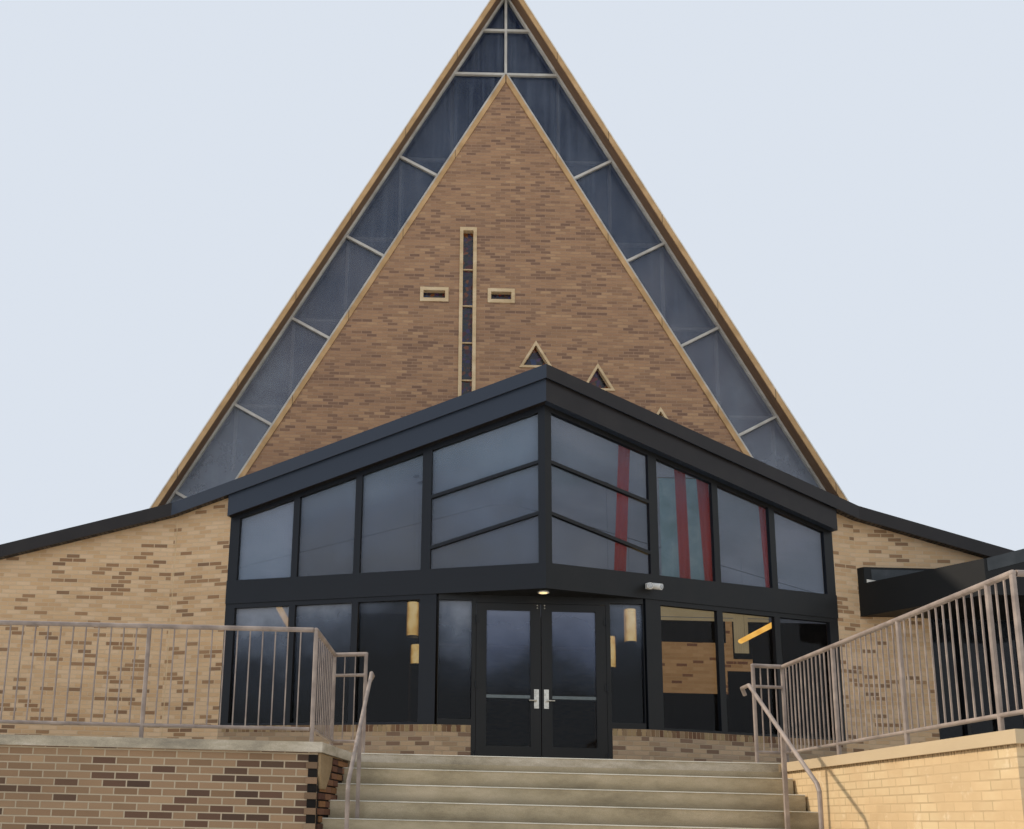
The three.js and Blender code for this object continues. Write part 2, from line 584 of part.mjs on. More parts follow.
// Concrete top of the terrace and landing, with its edge out over the walls
const capLeft = TERRACE_FRONT.left - 50;
const capRight = TERRACE_FRONT.right - 50;
const terracePlan = [
  [leftEdge - 50, WING_Y.left - GAP], [leftEdge - 50, capLeft], [LEFT_CORNER_X + 40, capLeft],
  [skewX(STAIR_TOP_Y) + 45, STAIR_TOP_Y], [RIGHT_WALL_X - 30, STAIR_TOP_Y],
  [RIGHT_WALL_X - 30, capRight], [rightEdge + 50, capRight],
  [rightEdge + 50, WING_Y.right - GAP], [kinkAt(1, 0)[0], WING_Y.right - GAP], prowAt(1, FRONT_CORNER, GAP),
  [993, DOOR_Y - GAP], [-993, DOOR_Y - GAP], prowAt(-1, FRONT_CORNER, GAP),
  [kinkAt(-1, 0)[0], WING_Y.left - GAP],
];
const doorStep = box(-985, 985, DOOR_Y - 5, DOOR_Y + 74, -CAP, 0);
add('terrace_slab', slab(terracePlan, -CAP, 0).add(doorStep), CONCRETE);

// One solid flight, colliding as its steps, with its head under the landing
const stairProfile = [[backY, GROUND], [backY, -CAP - GAP], [STAIR_TOP_Y, -CAP - GAP]];
for (let i = 1; i < RISERS; i += 1) {
  stairProfile.push([STAIR_TOP_Y - TREAD * (i - 1), -RISER * i], [STAIR_TOP_Y - TREAD * i, -RISER * i]);
}
stairProfile.push([STAIR_TOP_Y - TREAD * (RISERS - 1), GROUND]);
const stairPlan = [
  [LEFT_CORNER_X + GAP * 2, -9000], [LEFT_CORNER_X + GAP * 2, TERRACE_FRONT.left],
  [skewX(backY) + GAP * 2, backY], [STAIR_RIGHT, backY], [STAIR_RIGHT, -9000],
];
add('stair_flight', slab(stairProfile, -4000, 4000, sideways(0))
  .intersect(slab(stairPlan, GROUND, 500)), CONCRETE);

// Guards: round posts every thirteen spaces, and balusters between two rails.
// An end that is left open butts against the corner of the next guard.
const POST = 20;
const RAIL = 23;
const LOW_RAIL = 125;
const MID_RAIL = 820;
const ELBOW = RAIL * 1.02;
function elbow(x, y) {
  const ball = new THREE.IcosahedronGeometry(ELBOW, 1);
  ball.translate(x, y, GUARD_TOP - RAIL);
  return solid(ball);
}
function guard(points, spacing, { midSegment = -1, open = false } = {}) {
  const bodies = [];
  const last = points.length - 2;
  for (let i = 0; i <= last; i += 1) {
    const [ax, ay] = points[i];
    const [bx, by] = points[i + 1];
    const spaces = Math.max(2, Math.round(Math.hypot(bx - ax, by - ay) / spacing));
    bodies.push(rod([ax, ay, GUARD_TOP - RAIL], [bx, by, GUARD_TOP - RAIL], RAIL));
    bodies.push(rod([ax, ay, LOW_RAIL], [bx, by, LOW_RAIL], 17));
    if (i === midSegment) {
      bodies.push(rod([ax, ay, MID_RAIL], [bx, by, MID_RAIL], 17));
    }
    for (let k = 0; k <= spaces; k += 1) {
      const x = ax + (bx - ax) * k / spaces;
      const y = ay + (by - ay) * k / spaces;
      const end = k === 0 || k === spaces;
      if (end && open) {
        continue;
      }
      if (end) {
        bodies.push(elbow(x, y));
      }
      if (end || (k % 13 === 0 && spaces - k > 1)) {
        bodies.push(rod([x, y, GAP], [x, y, GUARD_TOP - RAIL], POST, 10));
      } else {
        bodies.push(box(x - 5.5, x + 5.5, y - 5.5, y + 5.5, LOW_RAIL, GUARD_TOP - RAIL));
      }
    }
  }
  return join(bodies);
}
const GUARD_Y = { left: TERRACE_FRONT.left + 90, right: TERRACE_FRONT.right + 25 };
const END_X = WING_END - 100;
const CORNER_X = { left: -2772, right: 2060 };
const BUTT = ELBOW + GAP;
const { left: leftStep, right: rightStep } = BALUSTER_STEP;
add('guard_end_left', guard([[-END_X, WING_Y.left - 120], [-END_X, GUARD_Y.left]], leftStep), TAUPE);
add('guard_front_left', guard([
  [CORNER_X.left - BUTT, GUARD_Y.left], [-END_X + BUTT, GUARD_Y.left],
], leftStep, { open: true }), TAUPE);
add('guard_stair_left', guard([
  [CORNER_X.left, GUARD_Y.left], [-2690, -2800], [-2353, -2890],
], leftStep, { midSegment: 1 }), TAUPE);
add('guard_stair_right', guard([
  [1760, -2760], [2090, -2720], [CORNER_X.right, GUARD_Y.right],
], rightStep, { midSegment: 0 }), TAUPE);
add('guard_front_right', guard([
  [CORNER_X.right + BUTT, GUARD_Y.right], [END_X - BUTT, GUARD_Y.right],
], leftStep, { open: true }), TAUPE);
add('guard_end_right', guard([[END_X, GUARD_Y.right], [END_X, WING_Y.right - 120]], leftStep), TAUPE);

// Handrails down the stair: each bends at its foot to a leg, and has one post half way
const treadZ = (y) => -RISER * Math.max(0, Math.ceil((STAIR_TOP_Y - y) / TREAD));
const RAIL_RUNS = {
  handrail_left: { top: [-2285, -3050, 815], low: [-2405, -4470, -350], from: [-2275, -2860] },
  handrail_right: { top: [1600, -3050, 785], low: [1600, -4470, -270], from: [1610, -2830] },
};
for (const [name, { top, low, from }] of Object.entries(RAIL_RUNS)) {
  const part = 0.54;
  const half = top.map((value, i) => value + (low[i] - value) * part);
  const foot = [low[0], low[1] - 40, low[2] - 70];
  add(name, join([
    bentRod([[from[0] + 40 * Math.sign(top[0]), from[1] + 30, top[2] - 70], [...from, top[2]], top, low,
      foot, [foot[0], foot[1], treadZ(foot[1]) + GAP]], 20),
    box(half[0] - 18, half[0] + 18, half[1] - 18, half[1] + 18, treadZ(half[1]) + GAP, half[2]),
  ]), TAUPE);
}

// Canopy on the right wing with a little gable of its own, and the dark glass wall below it
const canopyPlan = [
  [CANOPY_START, WING_Y.right - GAP], [CANOPY_START + 1000, 20], [CANOPY_END, 20],
  [CANOPY_END, WING_Y.right - GAP],
];
const canopyTop = CANOPY_HEIGHTS[1];
const canopyHalf = (CANOPY_END - CANOPY_GABLE_X) / 2;
const canopyGable = [
  [CANOPY_GABLE_X, canopyTop - 1], [CANOPY_GABLE_X, canopyTop + 2],
  [CANOPY_GABLE_X + canopyHalf, canopyTop + 2 + LOW_SLOPE * canopyHalf],
  [CANOPY_END, canopyTop + 2], [CANOPY_END, canopyTop - 1],
];
const upstandPlan = [
  [CANOPY_START, WING_Y.right - GAP], [CANOPY_START + 60, WING_Y.right - 90], [6700, WING_Y.right - 90],
  [6700, WING_Y.right - GAP],
];
add('side_canopy', join([
  slab(canopyPlan, ...CANOPY_HEIGHTS),
  slab(canopyGable, -(WING_Y.right - GAP), -20, facing(0)),
  slab(upstandPlan, canopyTop - 1, canopyTop + 260),
]), BRONZE);
const side = facing(WING_Y.right);
const sideOuter = rect(OPENING_RIGHT.x0 + GAP, OPENING_RIGHT.x1 - GAP, GAP, OPENING_RIGHT.z1 - GAP);
const sidePanes = [0, 1, 2, 3].map((i) => {
  const width = (OPENING_RIGHT.x1 - OPENING_RIGHT.x0 - 60) / 4;
  const x0 = OPENING_RIGHT.x0 + 60 + i * width;
  return slab(rect(x0, x0 + width - 60, 60, OPENING_RIGHT.z1 - 60), -200, -20, side);
});
add('side_window_frame', slab(sideOuter, -140, -70, side).subtract(join(sidePanes)), BRONZE);
add('side_glass', slab(rect(OPENING_RIGHT.x0 + 30, OPENING_RIGHT.x1 - 30, 30, OPENING_RIGHT.z1 - 30),
  -153, -140 - GAP, side), GLASS);

// Small white twin lamp on the panel band
const lampPoint = (t, offset, z) => [...prowAt(1, t, offset), z];
add('floodlight', join([
  slab(rect(1570, 1670, 2690, 2770), 15 + GAP, 75, prow(1)),
  rod(lampPoint(1590, 70, 2730), lampPoint(1530, 210, 2690), 45, 16),
  rod(lampPoint(1650, 70, 2730), lampPoint(1710, 210, 2690), 45, 16),
]), WHITE);

// Stand the whole on the ground, with the middle of its outline over the origin
const bounds = new THREE.Box3().setFromObject(group);
group.position.set(-(bounds.min.x + bounds.max.x) / 2, -(bounds.min.y + bounds.max.y) / 2, -GROUND);
group.updateMatrixWorld(true);
const shift = group.position.clone();
group.position.set(0, 0, 0);
for (const child of group.children) {
  child.position.add(shift);
}

export default group;
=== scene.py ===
# %% [markdown]
# # A modern A-frame church
#
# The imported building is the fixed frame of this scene. Its walls, roofs, glass and rails are
# already solid. This lesson gives each of them the finish of the real one, and adds what is too
# small or too fine for the solids: the leaded glass, the worn nosings of the stair, the lamps and
# banners behind the glass, the door furniture and the toothed corner of the terrace wall.

import functools
import math

import bpy
import numpy as np
from mathutils import Matrix, Vector


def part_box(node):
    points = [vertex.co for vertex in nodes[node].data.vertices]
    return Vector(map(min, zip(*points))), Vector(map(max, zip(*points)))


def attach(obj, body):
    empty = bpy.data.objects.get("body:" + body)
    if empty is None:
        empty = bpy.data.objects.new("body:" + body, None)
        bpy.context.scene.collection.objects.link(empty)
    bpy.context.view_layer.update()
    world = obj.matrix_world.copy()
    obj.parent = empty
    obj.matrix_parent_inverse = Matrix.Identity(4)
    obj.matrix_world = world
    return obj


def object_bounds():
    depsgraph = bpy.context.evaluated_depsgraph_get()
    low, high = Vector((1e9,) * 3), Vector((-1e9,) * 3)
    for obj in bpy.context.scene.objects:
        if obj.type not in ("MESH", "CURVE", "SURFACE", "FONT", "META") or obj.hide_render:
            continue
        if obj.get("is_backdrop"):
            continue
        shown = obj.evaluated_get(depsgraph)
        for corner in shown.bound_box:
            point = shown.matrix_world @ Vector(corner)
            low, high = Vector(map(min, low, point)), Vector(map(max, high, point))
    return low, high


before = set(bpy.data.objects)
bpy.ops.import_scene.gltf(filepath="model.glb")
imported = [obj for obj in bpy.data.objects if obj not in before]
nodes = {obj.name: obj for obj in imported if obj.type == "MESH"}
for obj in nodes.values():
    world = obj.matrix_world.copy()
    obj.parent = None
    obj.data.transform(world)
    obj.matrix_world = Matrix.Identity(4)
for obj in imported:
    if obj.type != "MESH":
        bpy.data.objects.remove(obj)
cad_low, cad_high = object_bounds()
print("nodes", len(nodes), "box", [round(v, 3) for v in (*cad_low, *cad_high)])

# %% [markdown]
# ## Two reference lines
#
# Buildings are set out from a few fixed lines. Here they are the plan point of the glazed front
# and the level of the landing. Both are read from the frame, so that every added piece sits where
# the solids are, and all other sizes are given in metres from them.

# %% The point of the front, the landing and the sizes of the solids
GABLE_Y = 5.175
TIP_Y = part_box("gable_wall_front")[0].y - GABLE_Y
LANDING_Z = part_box("terrace_slab")[1].z
PROW = math.radians(17)
COS, SIN = math.cos(PROW), math.sin(PROW)
DOOR_Y = 0.460
RISER, TREAD, RISERS = 0.165, 0.260, 12
STAIR_TOP_Y, STAIR_RIGHT = -2.950, 1.930
LEFT_CORNER_X, SKEW, TERRACE_FRONT = -2.700, 0.1626, -4.180
LOW_SLOPE, LOW_UNDER = 0.2845, 5.652
STEEP, ROOF_APEX, OVERHANG = 1.805, 17.960, 0.250
BRICK, COURSE = 0.214, 0.067
print("tip y", round(TIP_Y, 4), "landing z", round(LANDING_Z, 4))


def settle(points):
    """Adds the frame's place to points given from the front's plan point at landing level."""
    return np.asarray(points, float) + (0.0, TIP_Y, LANDING_Z)


def along_prow(side, distance, outward, height):
    """A point on a pointed wall: the distance along it, plus the outward step, plus the height."""
    return [side * (distance * COS + outward * SIN), distance * SIN - outward * COS, height]


# %% [markdown]
# ## The camera
#
# The photograph was taken from low down, left of the middle, looking up. The picture was cropped
# afterwards, so its middle is not the lens's middle. A camera shift gives that crop, and the three
# turns below were fitted to the measured edges of the building.

# %% A camera at the photograph's place
EYE = (-1.960, -12.411, -0.660)
YAW, PITCH, ROLL = (math.radians(v) for v in (-0.246, 11.067, 1.425))
forward = np.array([math.sin(YAW) * math.cos(PITCH), math.cos(YAW) * math.cos(PITCH), math.sin(PITCH)])
level = np.array([math.cos(YAW), -math.sin(YAW), 0.0])
upright = np.cross(level, forward)
right = level * math.cos(ROLL) + upright * math.sin(ROLL)
above = upright * math.cos(ROLL) - level * math.sin(ROLL)
camera = bpy.data.objects.new("camera", bpy.data.cameras.new("camera"))
bpy.context.scene.collection.objects.link(camera)
camera.data.sensor_width, camera.data.lens = 36.0, 32.286
camera.data.shift_x, camera.data.shift_y = 0.1094, 0.2202
camera.data.clip_start, camera.data.clip_end = 0.1, 500.0
turn = np.eye(4)
turn[:3] = np.stack([right, above, -forward, settle(EYE)], -1)
camera.matrix_world = Matrix(turn.tolist())
bpy.context.scene.camera = camera
print("camera at", [round(float(v), 3) for v in turn[:3, 3]])

# %% [markdown]
# ## Colours and nodes
#
# Colours are written as the hex values that a paint chart would give, and one function turns them
# into the linear values that the renderer adds and multiplies. One more function adds a shader
# node, sets it and joins it up, which keeps each material short enough to read.


# %% Colour and node helpers
def linear(hex_colour, alpha=1.0):
    """sRGB to linear: c / 12.92 below 0.04045, otherwise ((c + 0.055) / 1.055) to the power 2.4."""
    srgb = np.array([int(hex_colour[i:i + 2], 16) for i in (1, 3, 5)]) / 255
    values = np.where(srgb <= 0.04045, srgb / 12.92, ((srgb + 0.055) / 1.055) ** 2.4)
    return (*values.tolist(), alpha)


def add_node(tree, kind, inputs=(), stops=(), out=0, **settings):
    """Adds one node and returns one of its outputs. A word after the kind is the node's operation.
    Inputs come in the node's order or by name, and each is a link, a value or a hex colour. Stops
    are the places and colours of a ramp."""
    kind, _, operation = kind.partition(" ")
    made = tree.nodes.new("ShaderNode" + kind)
    if operation:
        made.operation = operation
    for name, value in settings.items():
        setattr(made, name, value)
    for name, value in inputs.items() if isinstance(inputs, dict) else enumerate(inputs):
        if isinstance(value, bpy.types.NodeSocket):
            tree.links.new(value, made.inputs[name])
        else:
            made.inputs[name].default_value = linear(value) if isinstance(value, str) else value
    if stops:
        elements = made.color_ramp.elements
        while len(elements) < len(stops):
            elements.new(0.5)
        for element, (place, colour) in zip(elements, stops):
            element.position, element.color = place, linear(colour)
    return made.outputs[out]


def principled(material, name):
    """An input of the material's Principled shader."""
    return material.node_tree.nodes["Principled BSDF"].inputs[name.replace("_", " ")]


def new_finish(name, **constants):
    """A material whose constants are set on its Principled shader, with the function that adds its
    nodes and the place of each point in the piece's own metres."""
    material = bpy.data.materials.new(name)
    material.use_nodes = True
    for key, value in constants.items():
        principled(material, key).default_value = value
    add = functools.partial(add_node, material.node_tree)
    return material, add, add("TexCoord", out="Object")


def shade(material, **sockets):
    """Links node outputs to the Principled shader's inputs of those names."""
    for key, socket in sockets.items():
        material.node_tree.links.new(socket, principled(material, key))


def mottled(name, stops, scale, roughness, stretch=None, detail=2.0, glow=0.0, **constants):
    """Paint, board or plain glass: one noise through a ramp. Stretch draws it out like the grain of
    wood, and glow gives the same colour off as light, for a lamp's own light and for painted light
    on parts that are no lamps."""
    material, add, place = new_finish(name, Roughness=roughness, Emission_Strength=glow, **constants)
    if stretch:
        place = add("Mapping", {"Vector": place, "Scale": stretch})
    cloud = add("TexNoise", {"Vector": place, "Scale": scale, "Detail": detail})
    colour = add("ValToRGB", [cloud], stops)
    shade(material, Base_Color=colour)
    if glow:
        shade(material, Emission_Color=colour)
    return material


# %% [markdown]
# ## A pattern of courses
#
# Brick and shingle are both courses of equal units, each course shifted by half a unit. The group
# below works on any face: it takes the level direction in the face as u and the direction up the
# face as v, both from the face's own normal, and measures them in metres. Each unit then gets its
# own random number, which real kilns and quarries supply for nothing.

# %% Node group for courses of units
courses = bpy.data.node_groups.new("courses of units", "ShaderNodeTree")
for name in ("Length", "Height", "Joint"):
    courses.interface.new_socket(name, in_out="INPUT", socket_type="NodeSocketFloat")
length, height, joint = courses.nodes.new("NodeGroupInput").outputs[:3]
add = functools.partial(add_node, courses)
position = add("TexCoord", out="Object")
normal = add("NewGeometry", out="True Normal")
across = add("VectorMath CROSS_PRODUCT", [(0.0, -0.0003, 1.0), normal])
across = add("VectorMath NORMALIZE", [across])
upward = add("VectorMath CROSS_PRODUCT", [normal, across])
run = add("VectorMath DOT_PRODUCT", [position, across], out="Value")
rise = add("VectorMath DOT_PRODUCT", [position, upward], out="Value")
level_units = add("Math DIVIDE", [rise, height])
course = add("Math FLOOR", [level_units])
half_step = add("Math MULTIPLY", [course, 0.5])
half_step = add("Math FRACT", [half_step])
run_units = add("Math DIVIDE", [run, length])
run_units = add("Math ADD", [run_units, half_step])
column = add("Math FLOOR", [run_units])
edges = []
for units, size in ((run_units, length), (level_units, height)):
    part = add("Math FRACT", [units])
    far = add("Math SUBTRACT", [1.0, part])
    near = add("Math MINIMUM", [part, far])
    edges.append(add("Math MULTIPLY", [near, size]))
edge = add("Math MINIMUM", edges)
half_joint = add("Math MULTIPLY", [joint, 0.5])
full_joint = add("Math MULTIPLY", [joint, 0.8])
body = add("MapRange", [edge, half_joint, full_joint], interpolation_type="SMOOTHSTEP")
cell = add("CombineXYZ", [column, course])
chance = add("TexWhiteNoise", [cell], noise_dimensions="2D")
tone = add("SeparateColor", [chance.node.outputs["Color"]], out="Green")
middle_run = add("Math MULTIPLY", [column, length])
middle_rise = add("Math MULTIPLY", [course, height])
middle = add("CombineXYZ", [middle_run, middle_rise])
results = {"Body": body, "Chance": chance, "Tone": tone, "Middle": middle}
for name in results:
    kind = "NodeSocketVector" if name == "Middle" else "NodeSocketFloat"
    courses.interface.new_socket(name, in_out="OUTPUT", socket_type=kind)
group_end = courses.nodes.new("NodeGroupOutput").inputs
for name, socket in results.items():
    courses.links.new(socket, group_end[name])
print("pattern nodes", len(courses.nodes))

# %% [markdown]
# ## Brick
#
# The walls are extruded clay brick, fired unevenly: most are pale, and one in six to one in three
# is dark from the hottest part of the kiln. Dark ones come in small clusters, because bricks are
# laid as they leave the pack. A course with its joint is 67 mm, and a brick with its joint 214 mm.
# The mortar is struck back a little, which the bump shows.


# %% Fired clay brick
def clay_brick(name, tones, dark, mortar, share, soot, soot_amount=0.25, length=BRICK, joint=0.010,
               streak=1.0):
    """A unit is dark where its own chance plus the local cluster passes 1 - share. The rest take a
    tone from the ramp. Broad noise then weathers the wall, and fine noise gives the clay's grain.
    A streak above 1 draws the clusters out along the courses."""
    material, add, place = new_finish(name, Roughness=0.88, Specular_IOR_Level=0.25)
    laid = add("Group", {"Length": length, "Height": COURSE, "Joint": joint},
               node_tree=courses).node.outputs
    drawn = add("Mapping", {"Vector": laid["Middle"], "Scale": (1 / streak, streak, 1.0)})
    cluster = add("TexNoise", {"Vector": drawn, "Scale": 1.3, "Detail": 2.0})
    push = add("MapRange", [cluster, 0.35, 0.65, -0.16, 0.16])
    odds = add("Math ADD", [laid["Chance"], push])
    is_dark = add("Math GREATER_THAN", [odds, 1.0 - share])
    pale, deep = (add("ValToRGB", [laid["Tone"]],
                      [(i / (len(ramp) - 1), colour) for i, colour in enumerate(ramp)])
                  for ramp in (tones, dark))
    fired = add("MixRGB", [is_dark, pale, deep])
    grain = add("TexNoise", {"Vector": place, "Scale": 160.0, "Detail": 3.0})
    fired = add("MixRGB", [0.22, fired, grain], blend_type="OVERLAY")
    laid_up = add("MixRGB", [laid["Body"], mortar, fired])
    stretched = add("Mapping", {"Vector": place, "Scale": (0.5, 0.5, 1.6)})
    weather = add("TexNoise", {"Vector": stretched, "Scale": 1.0, "Detail": 6.0, "Roughness": 0.65})
    worn = add("MapRange", [weather, 0.42, 0.72, 0.0, soot_amount])
    final = add("MixRGB", [worn, laid_up, soot])
    relief = add("Math MULTIPLY", [grain, 0.25])
    relief = add("Math ADD", [relief, laid["Body"]])
    bump = add("Bump", {"Strength": 0.7, "Distance": 0.006, "Height": relief})
    shade(material, Base_Color=final, Normal=bump)
    return material


buff_brick = clay_brick("fired clay brick, buff blend", ["#C3A07A", "#D2B18A", "#D9BB98", "#CAA67D"],
                        ["#906F52", "#A58361", "#7F644E"], "#CEB594", 0.17, "#93785B", 0.22)
rose_brick = clay_brick("fired clay brick, rose blend", ["#957459", "#AC8767", "#A07C60", "#B6926F"],
                        ["#7D6150", "#8B6C56", "#97775E"], "#A5866C", 0.32, "#75594A", 0.3, streak=3.4)
brown_brick = clay_brick("fired clay brick, brown blend", ["#83684F", "#9F8366", "#917459", "#AD9070"],
                         ["#524035", "#604A3C", "#6C5141"], "#B9A88E", 0.30, "#705B45", 0.35)
# Painted shade: the knee walls take a darker, greyer copy of the buff brick.
knee_brick_painted_shade = clay_brick("fired clay brick, buff in painted shade", ["#988067", "#AA9174", "#B99F82", "#A08A73"],
                        ["#725C4B", "#826A58"], "#A8967D", 0.16, "#72614E", 0.3)
print("brick finishes", buff_brick.name, rose_brick.name, brown_brick.name, knee_brick_painted_shade.name)

# %% [markdown]
# ## Painted brick
#
# The right-hand terrace wall is the same brick under several coats of cream masonry paint. Paint
# fills most of the joints, so they show as soft lines that come and go, and the colour hardly
# changes from brick to brick. Brush marks break it up, and so does a dark band under the coping:
# the coping's painted shadow, with grime running down from it.

# %% Masonry paint over brick
painted_brick, add, place = new_finish("masonry paint on brick, brushed", Roughness=0.62)
laid = add("Group", {"Length": BRICK, "Height": COURSE, "Joint": 0.009}, node_tree=courses).node.outputs
coat = add("TexNoise", {"Vector": place, "Scale": 2.2, "Detail": 7.0, "Roughness": 0.6})
paint = add("ValToRGB", [coat], [(0.3, "#C9AB80"), (0.5, "#D1B489"), (0.7, "#D8BF94")])
by_brick = add("MapRange", [laid["Tone"], 0.0, 1.0, 0.95, 1.03])
tinted = add("MixRGB", [1.0, paint, by_brick], blend_type="MULTIPLY")
chalky = add("TexNoise", {"Vector": place, "Scale": 5.5, "Detail": 8.0, "Roughness": 0.7})
worn_off = add("MapRange", [chalky, 0.58, 0.70, 0.0, 0.55])
chalked = add("MixRGB", [worn_off, tinted, "#E9D6B4"])
joint_line = add("MapRange", [laid["Body"], 0.0, 1.0, 0.46, 0.0])
uneven = add("MapRange", [coat, 0.38, 0.62])
filled = add("Math MULTIPLY", [joint_line, uneven])
lined = add("MixRGB", [filled, chalked, "#8F7450"])
# Painted shadow of the coping, with grime below it: a dark line just under the coping, and noise
# drawn out along the height that is mostly gone 60 mm below it.
drip = add("Mapping", {"Vector": place, "Scale": (60.0, 60.0, 8.0)})
drops = add("TexNoise", {"Vector": drip, "Scale": 1.0, "Detail": 3.0})
up_wall = add("SeparateXYZ", [place], out="Z")
reach_down = add("MapRange", [up_wall, LANDING_Z - 0.15, LANDING_Z - 0.093, -0.80, -0.36])
grime_and_shade = add("Math ADD", [drops, reach_down])
grime_and_shade = add("Math MULTIPLY", [grime_and_shade, 6.0], use_clamp=True)
soiled_and_shaded = add("MixRGB", [grime_and_shade, lined, "#7A5C38"])
bump = add("Bump", {"Strength": 0.3, "Distance": 0.004, "Height": laid["Body"]})
shade(painted_brick, Base_Color=soiled_and_shaded, Normal=bump)

# %% [markdown]
# ## Concrete
#
# The stair, the landing and the floors are cast concrete, floated by hand and then rained on for
# decades. Broad stains in olive and grey lie over a fine sandy grain, and dirt gathers where the
# water runs last, at the foot of every riser.


# %% Floated concrete, weathered
def floated_concrete(name, colours, by_step=False):
    """Noise of 0.7 m, with its finer octaves, gives the stains, and noise of 4 mm the sand. On the
    stair the height within one riser darkens the foot of each step."""
    material, add, place = new_finish(name, Roughness=0.9, Specular_IOR_Level=0.3)
    drawn = add("Mapping", {"Vector": place, "Scale": (1.0, 1.0, 2.5)})
    stain = add("TexNoise", {"Vector": drawn, "Scale": 1.4, "Detail": 8.0, "Roughness": 0.68})
    sand = add("TexNoise", {"Vector": place, "Scale": 240.0, "Detail": 2.0})
    colour = add("ValToRGB", [stain], list(zip((0.30, 0.50, 0.68), colours)))
    result = add("MixRGB", [0.35, colour, sand], blend_type="OVERLAY")
    if by_step:
        height = add("SeparateXYZ", [place], out="Z")
        steps = add("Math DIVIDE", [height, RISER])
        within = add("Math FRACT", [steps])
        foot = add("MapRange", [within, 0.04, 0.6, 0.5, 0.0], interpolation_type="SMOOTHSTEP")
        patchy = add("Math MULTIPLY", [foot, stain])
        result = add("MixRGB", [patchy, result, "#4B4636"])
    relief = add("Bump", {"Strength": 0.35, "Distance": 0.003, "Height": sand})
    shade(material, Base_Color=result, Normal=relief)
    return material


step_concrete = floated_concrete("floated concrete, stair", ["#90846C", "#B3A589", "#C7B89D"], True)
slab_concrete = floated_concrete("floated concrete, terrace", ["#898275", "#B2A895", "#D0C7B8"])
floor_concrete = floated_concrete("floated concrete, indoors", ["#857B6C", "#9A8F7E", "#A99E8C"])
# Right of the stair, x above 1.9, the coping's upright faces are painted with the wall below.
add = functools.partial(add_node, slab_concrete.node_tree)
bare = principled(slab_concrete, "Base_Color").links[0].from_socket
place = add("TexCoord", out="Object")
to_right = add("SeparateXYZ", [place])
standing = add("SeparateXYZ", [place.node.outputs["Normal"]], out="Z")
level_top = add("Math GREATER_THAN", [standing, 0.5])
painted_part = add("Math GREATER_THAN", [to_right, 1.9])
painted_part = add("Math SUBTRACT", [painted_part, level_top], use_clamp=True)
part_paint = add("MixRGB", [painted_part, bare, "#C3AF90"])
worn_paint = add("MixRGB", [0.3, part_paint, bare], blend_type="SOFT_LIGHT")
shade(slab_concrete, Base_Color=worn_paint)

# %% [markdown]
# ## Metals
#
# The frames, fascias and doors are aluminium, anodised to a dark bronze that is almost black. The
# film is even, so only dust and a faint drawing grain vary it, and faces turned to the left take a
# cooler colour: a painted reflection of the sky. The boards on the roof's edges and
# the coping are folded sheet with a baked tan paint, joined by a seam every 1.09 m. The railings
# are steel with several coats of taupe enamel. The canopy's flat black paint gives nothing back.
# The grey, white and pale enamels are even and dull, and the satin nickel keeps a soft highlight.


# %% Anodised, baked and enamelled metal
def coated_metal(name, colours, roughness=0.5, metallic=0.0, scale=3.0, seams=0.0, cool=None):
    """Broad noise moves the colour along the ramp and the roughness by 0.05 each way. Seams darken a
    12 mm line wherever the distance from the middle passes a whole number of sheet lengths. A cool
    colour takes over on faces turned to the left, by the object's own normal: a painted reflection
    of the sky."""
    material, add, place = new_finish(name, Metallic=metallic, Specular_IOR_Level=0.3)
    cloud = add("TexNoise", {"Vector": place, "Scale": scale, "Detail": 6.0, "Roughness": 0.6})
    colour = add("ValToRGB", [cloud], list(zip((0.32, 0.5, 0.68), colours)))
    if seams:
        sideways = add("SeparateXYZ", [place])
        out = add("Math ABSOLUTE", [sideways])
        sheets = add("Math DIVIDE", [out, seams])
        part = add("Math FRACT", [sheets])
        line = add("Math LESS_THAN", [part, 0.012 / seams])
        colour = add("MixRGB", [line, colour, "#57432C"])
    # Painted reflection: faces turned to the left take the cool colour of the sky they give back.
    if cool:
        facing = add("SeparateXYZ", [place.node.outputs["Normal"]])
        sky_reflection_side = add("MapRange", [facing, -0.05, -0.25])
        colour = add("MixRGB", [sky_reflection_side, colour, cool])
    gloss = add("MapRange", [cloud, 0.3, 0.7, roughness - 0.05, roughness + 0.05])
    fine = add("TexNoise", {"Vector": place, "Scale": 90.0, "Detail": 2.0})
    skin = add("Bump", {"Strength": 0.12, "Distance": 0.001, "Height": fine})
    shade(material, Base_Color=colour, Roughness=gloss, Normal=skin)
    return material


# Both bronzes carry a painted sky reflection on faces turned to the left.
bronze = coated_metal("aluminium, bronze anodised", ["#171716", "#1A1A19", "#1E1D1C"], 0.42, cool="#161A21")
fascia_bronze = coated_metal("aluminium sheet, bronze anodised", ["#211D1B", "#24201F", "#292523"], 0.42,
                             cool="#2F3744")
canopy_bronze = coated_metal("aluminium, black painted", ["#0B0B0A", "#0E0E0D", "#121110"])
tan_metal = coated_metal("sheet metal, tan baked enamel", ["#AA875B", "#BB9667", "#CAA577"], seams=1.09)
grey_metal = coated_metal("aluminium bar, grey enamel", ["#A6A199", "#BDB8AE", "#CDC9C0"])
taupe_steel = coated_metal("steel tube, taupe enamel", ["#80736A", "#94867C", "#A9998C"], 0.42, scale=6.0)
satin_nickel = coated_metal("brass, satin nickel plated", ["#B9B4A8", "#CFCABE", "#DEDACF"], 0.3, 0.8, 20.0)
white_enamel = coated_metal("die-cast lamp housing, white enamel", ["#DAD8D2", "#E8E6E0", "#F1EFEA"], 0.35)
grey_sheet = coated_metal("sheet metal, weathered grey paint", ["#33373A", "#3E4245", "#4B4F51"], 0.55)
pale_trim = coated_metal("folded drip edge, white enamel", ["#D5CFC3", "#E3DED3", "#EDE9E0"], 0.45)
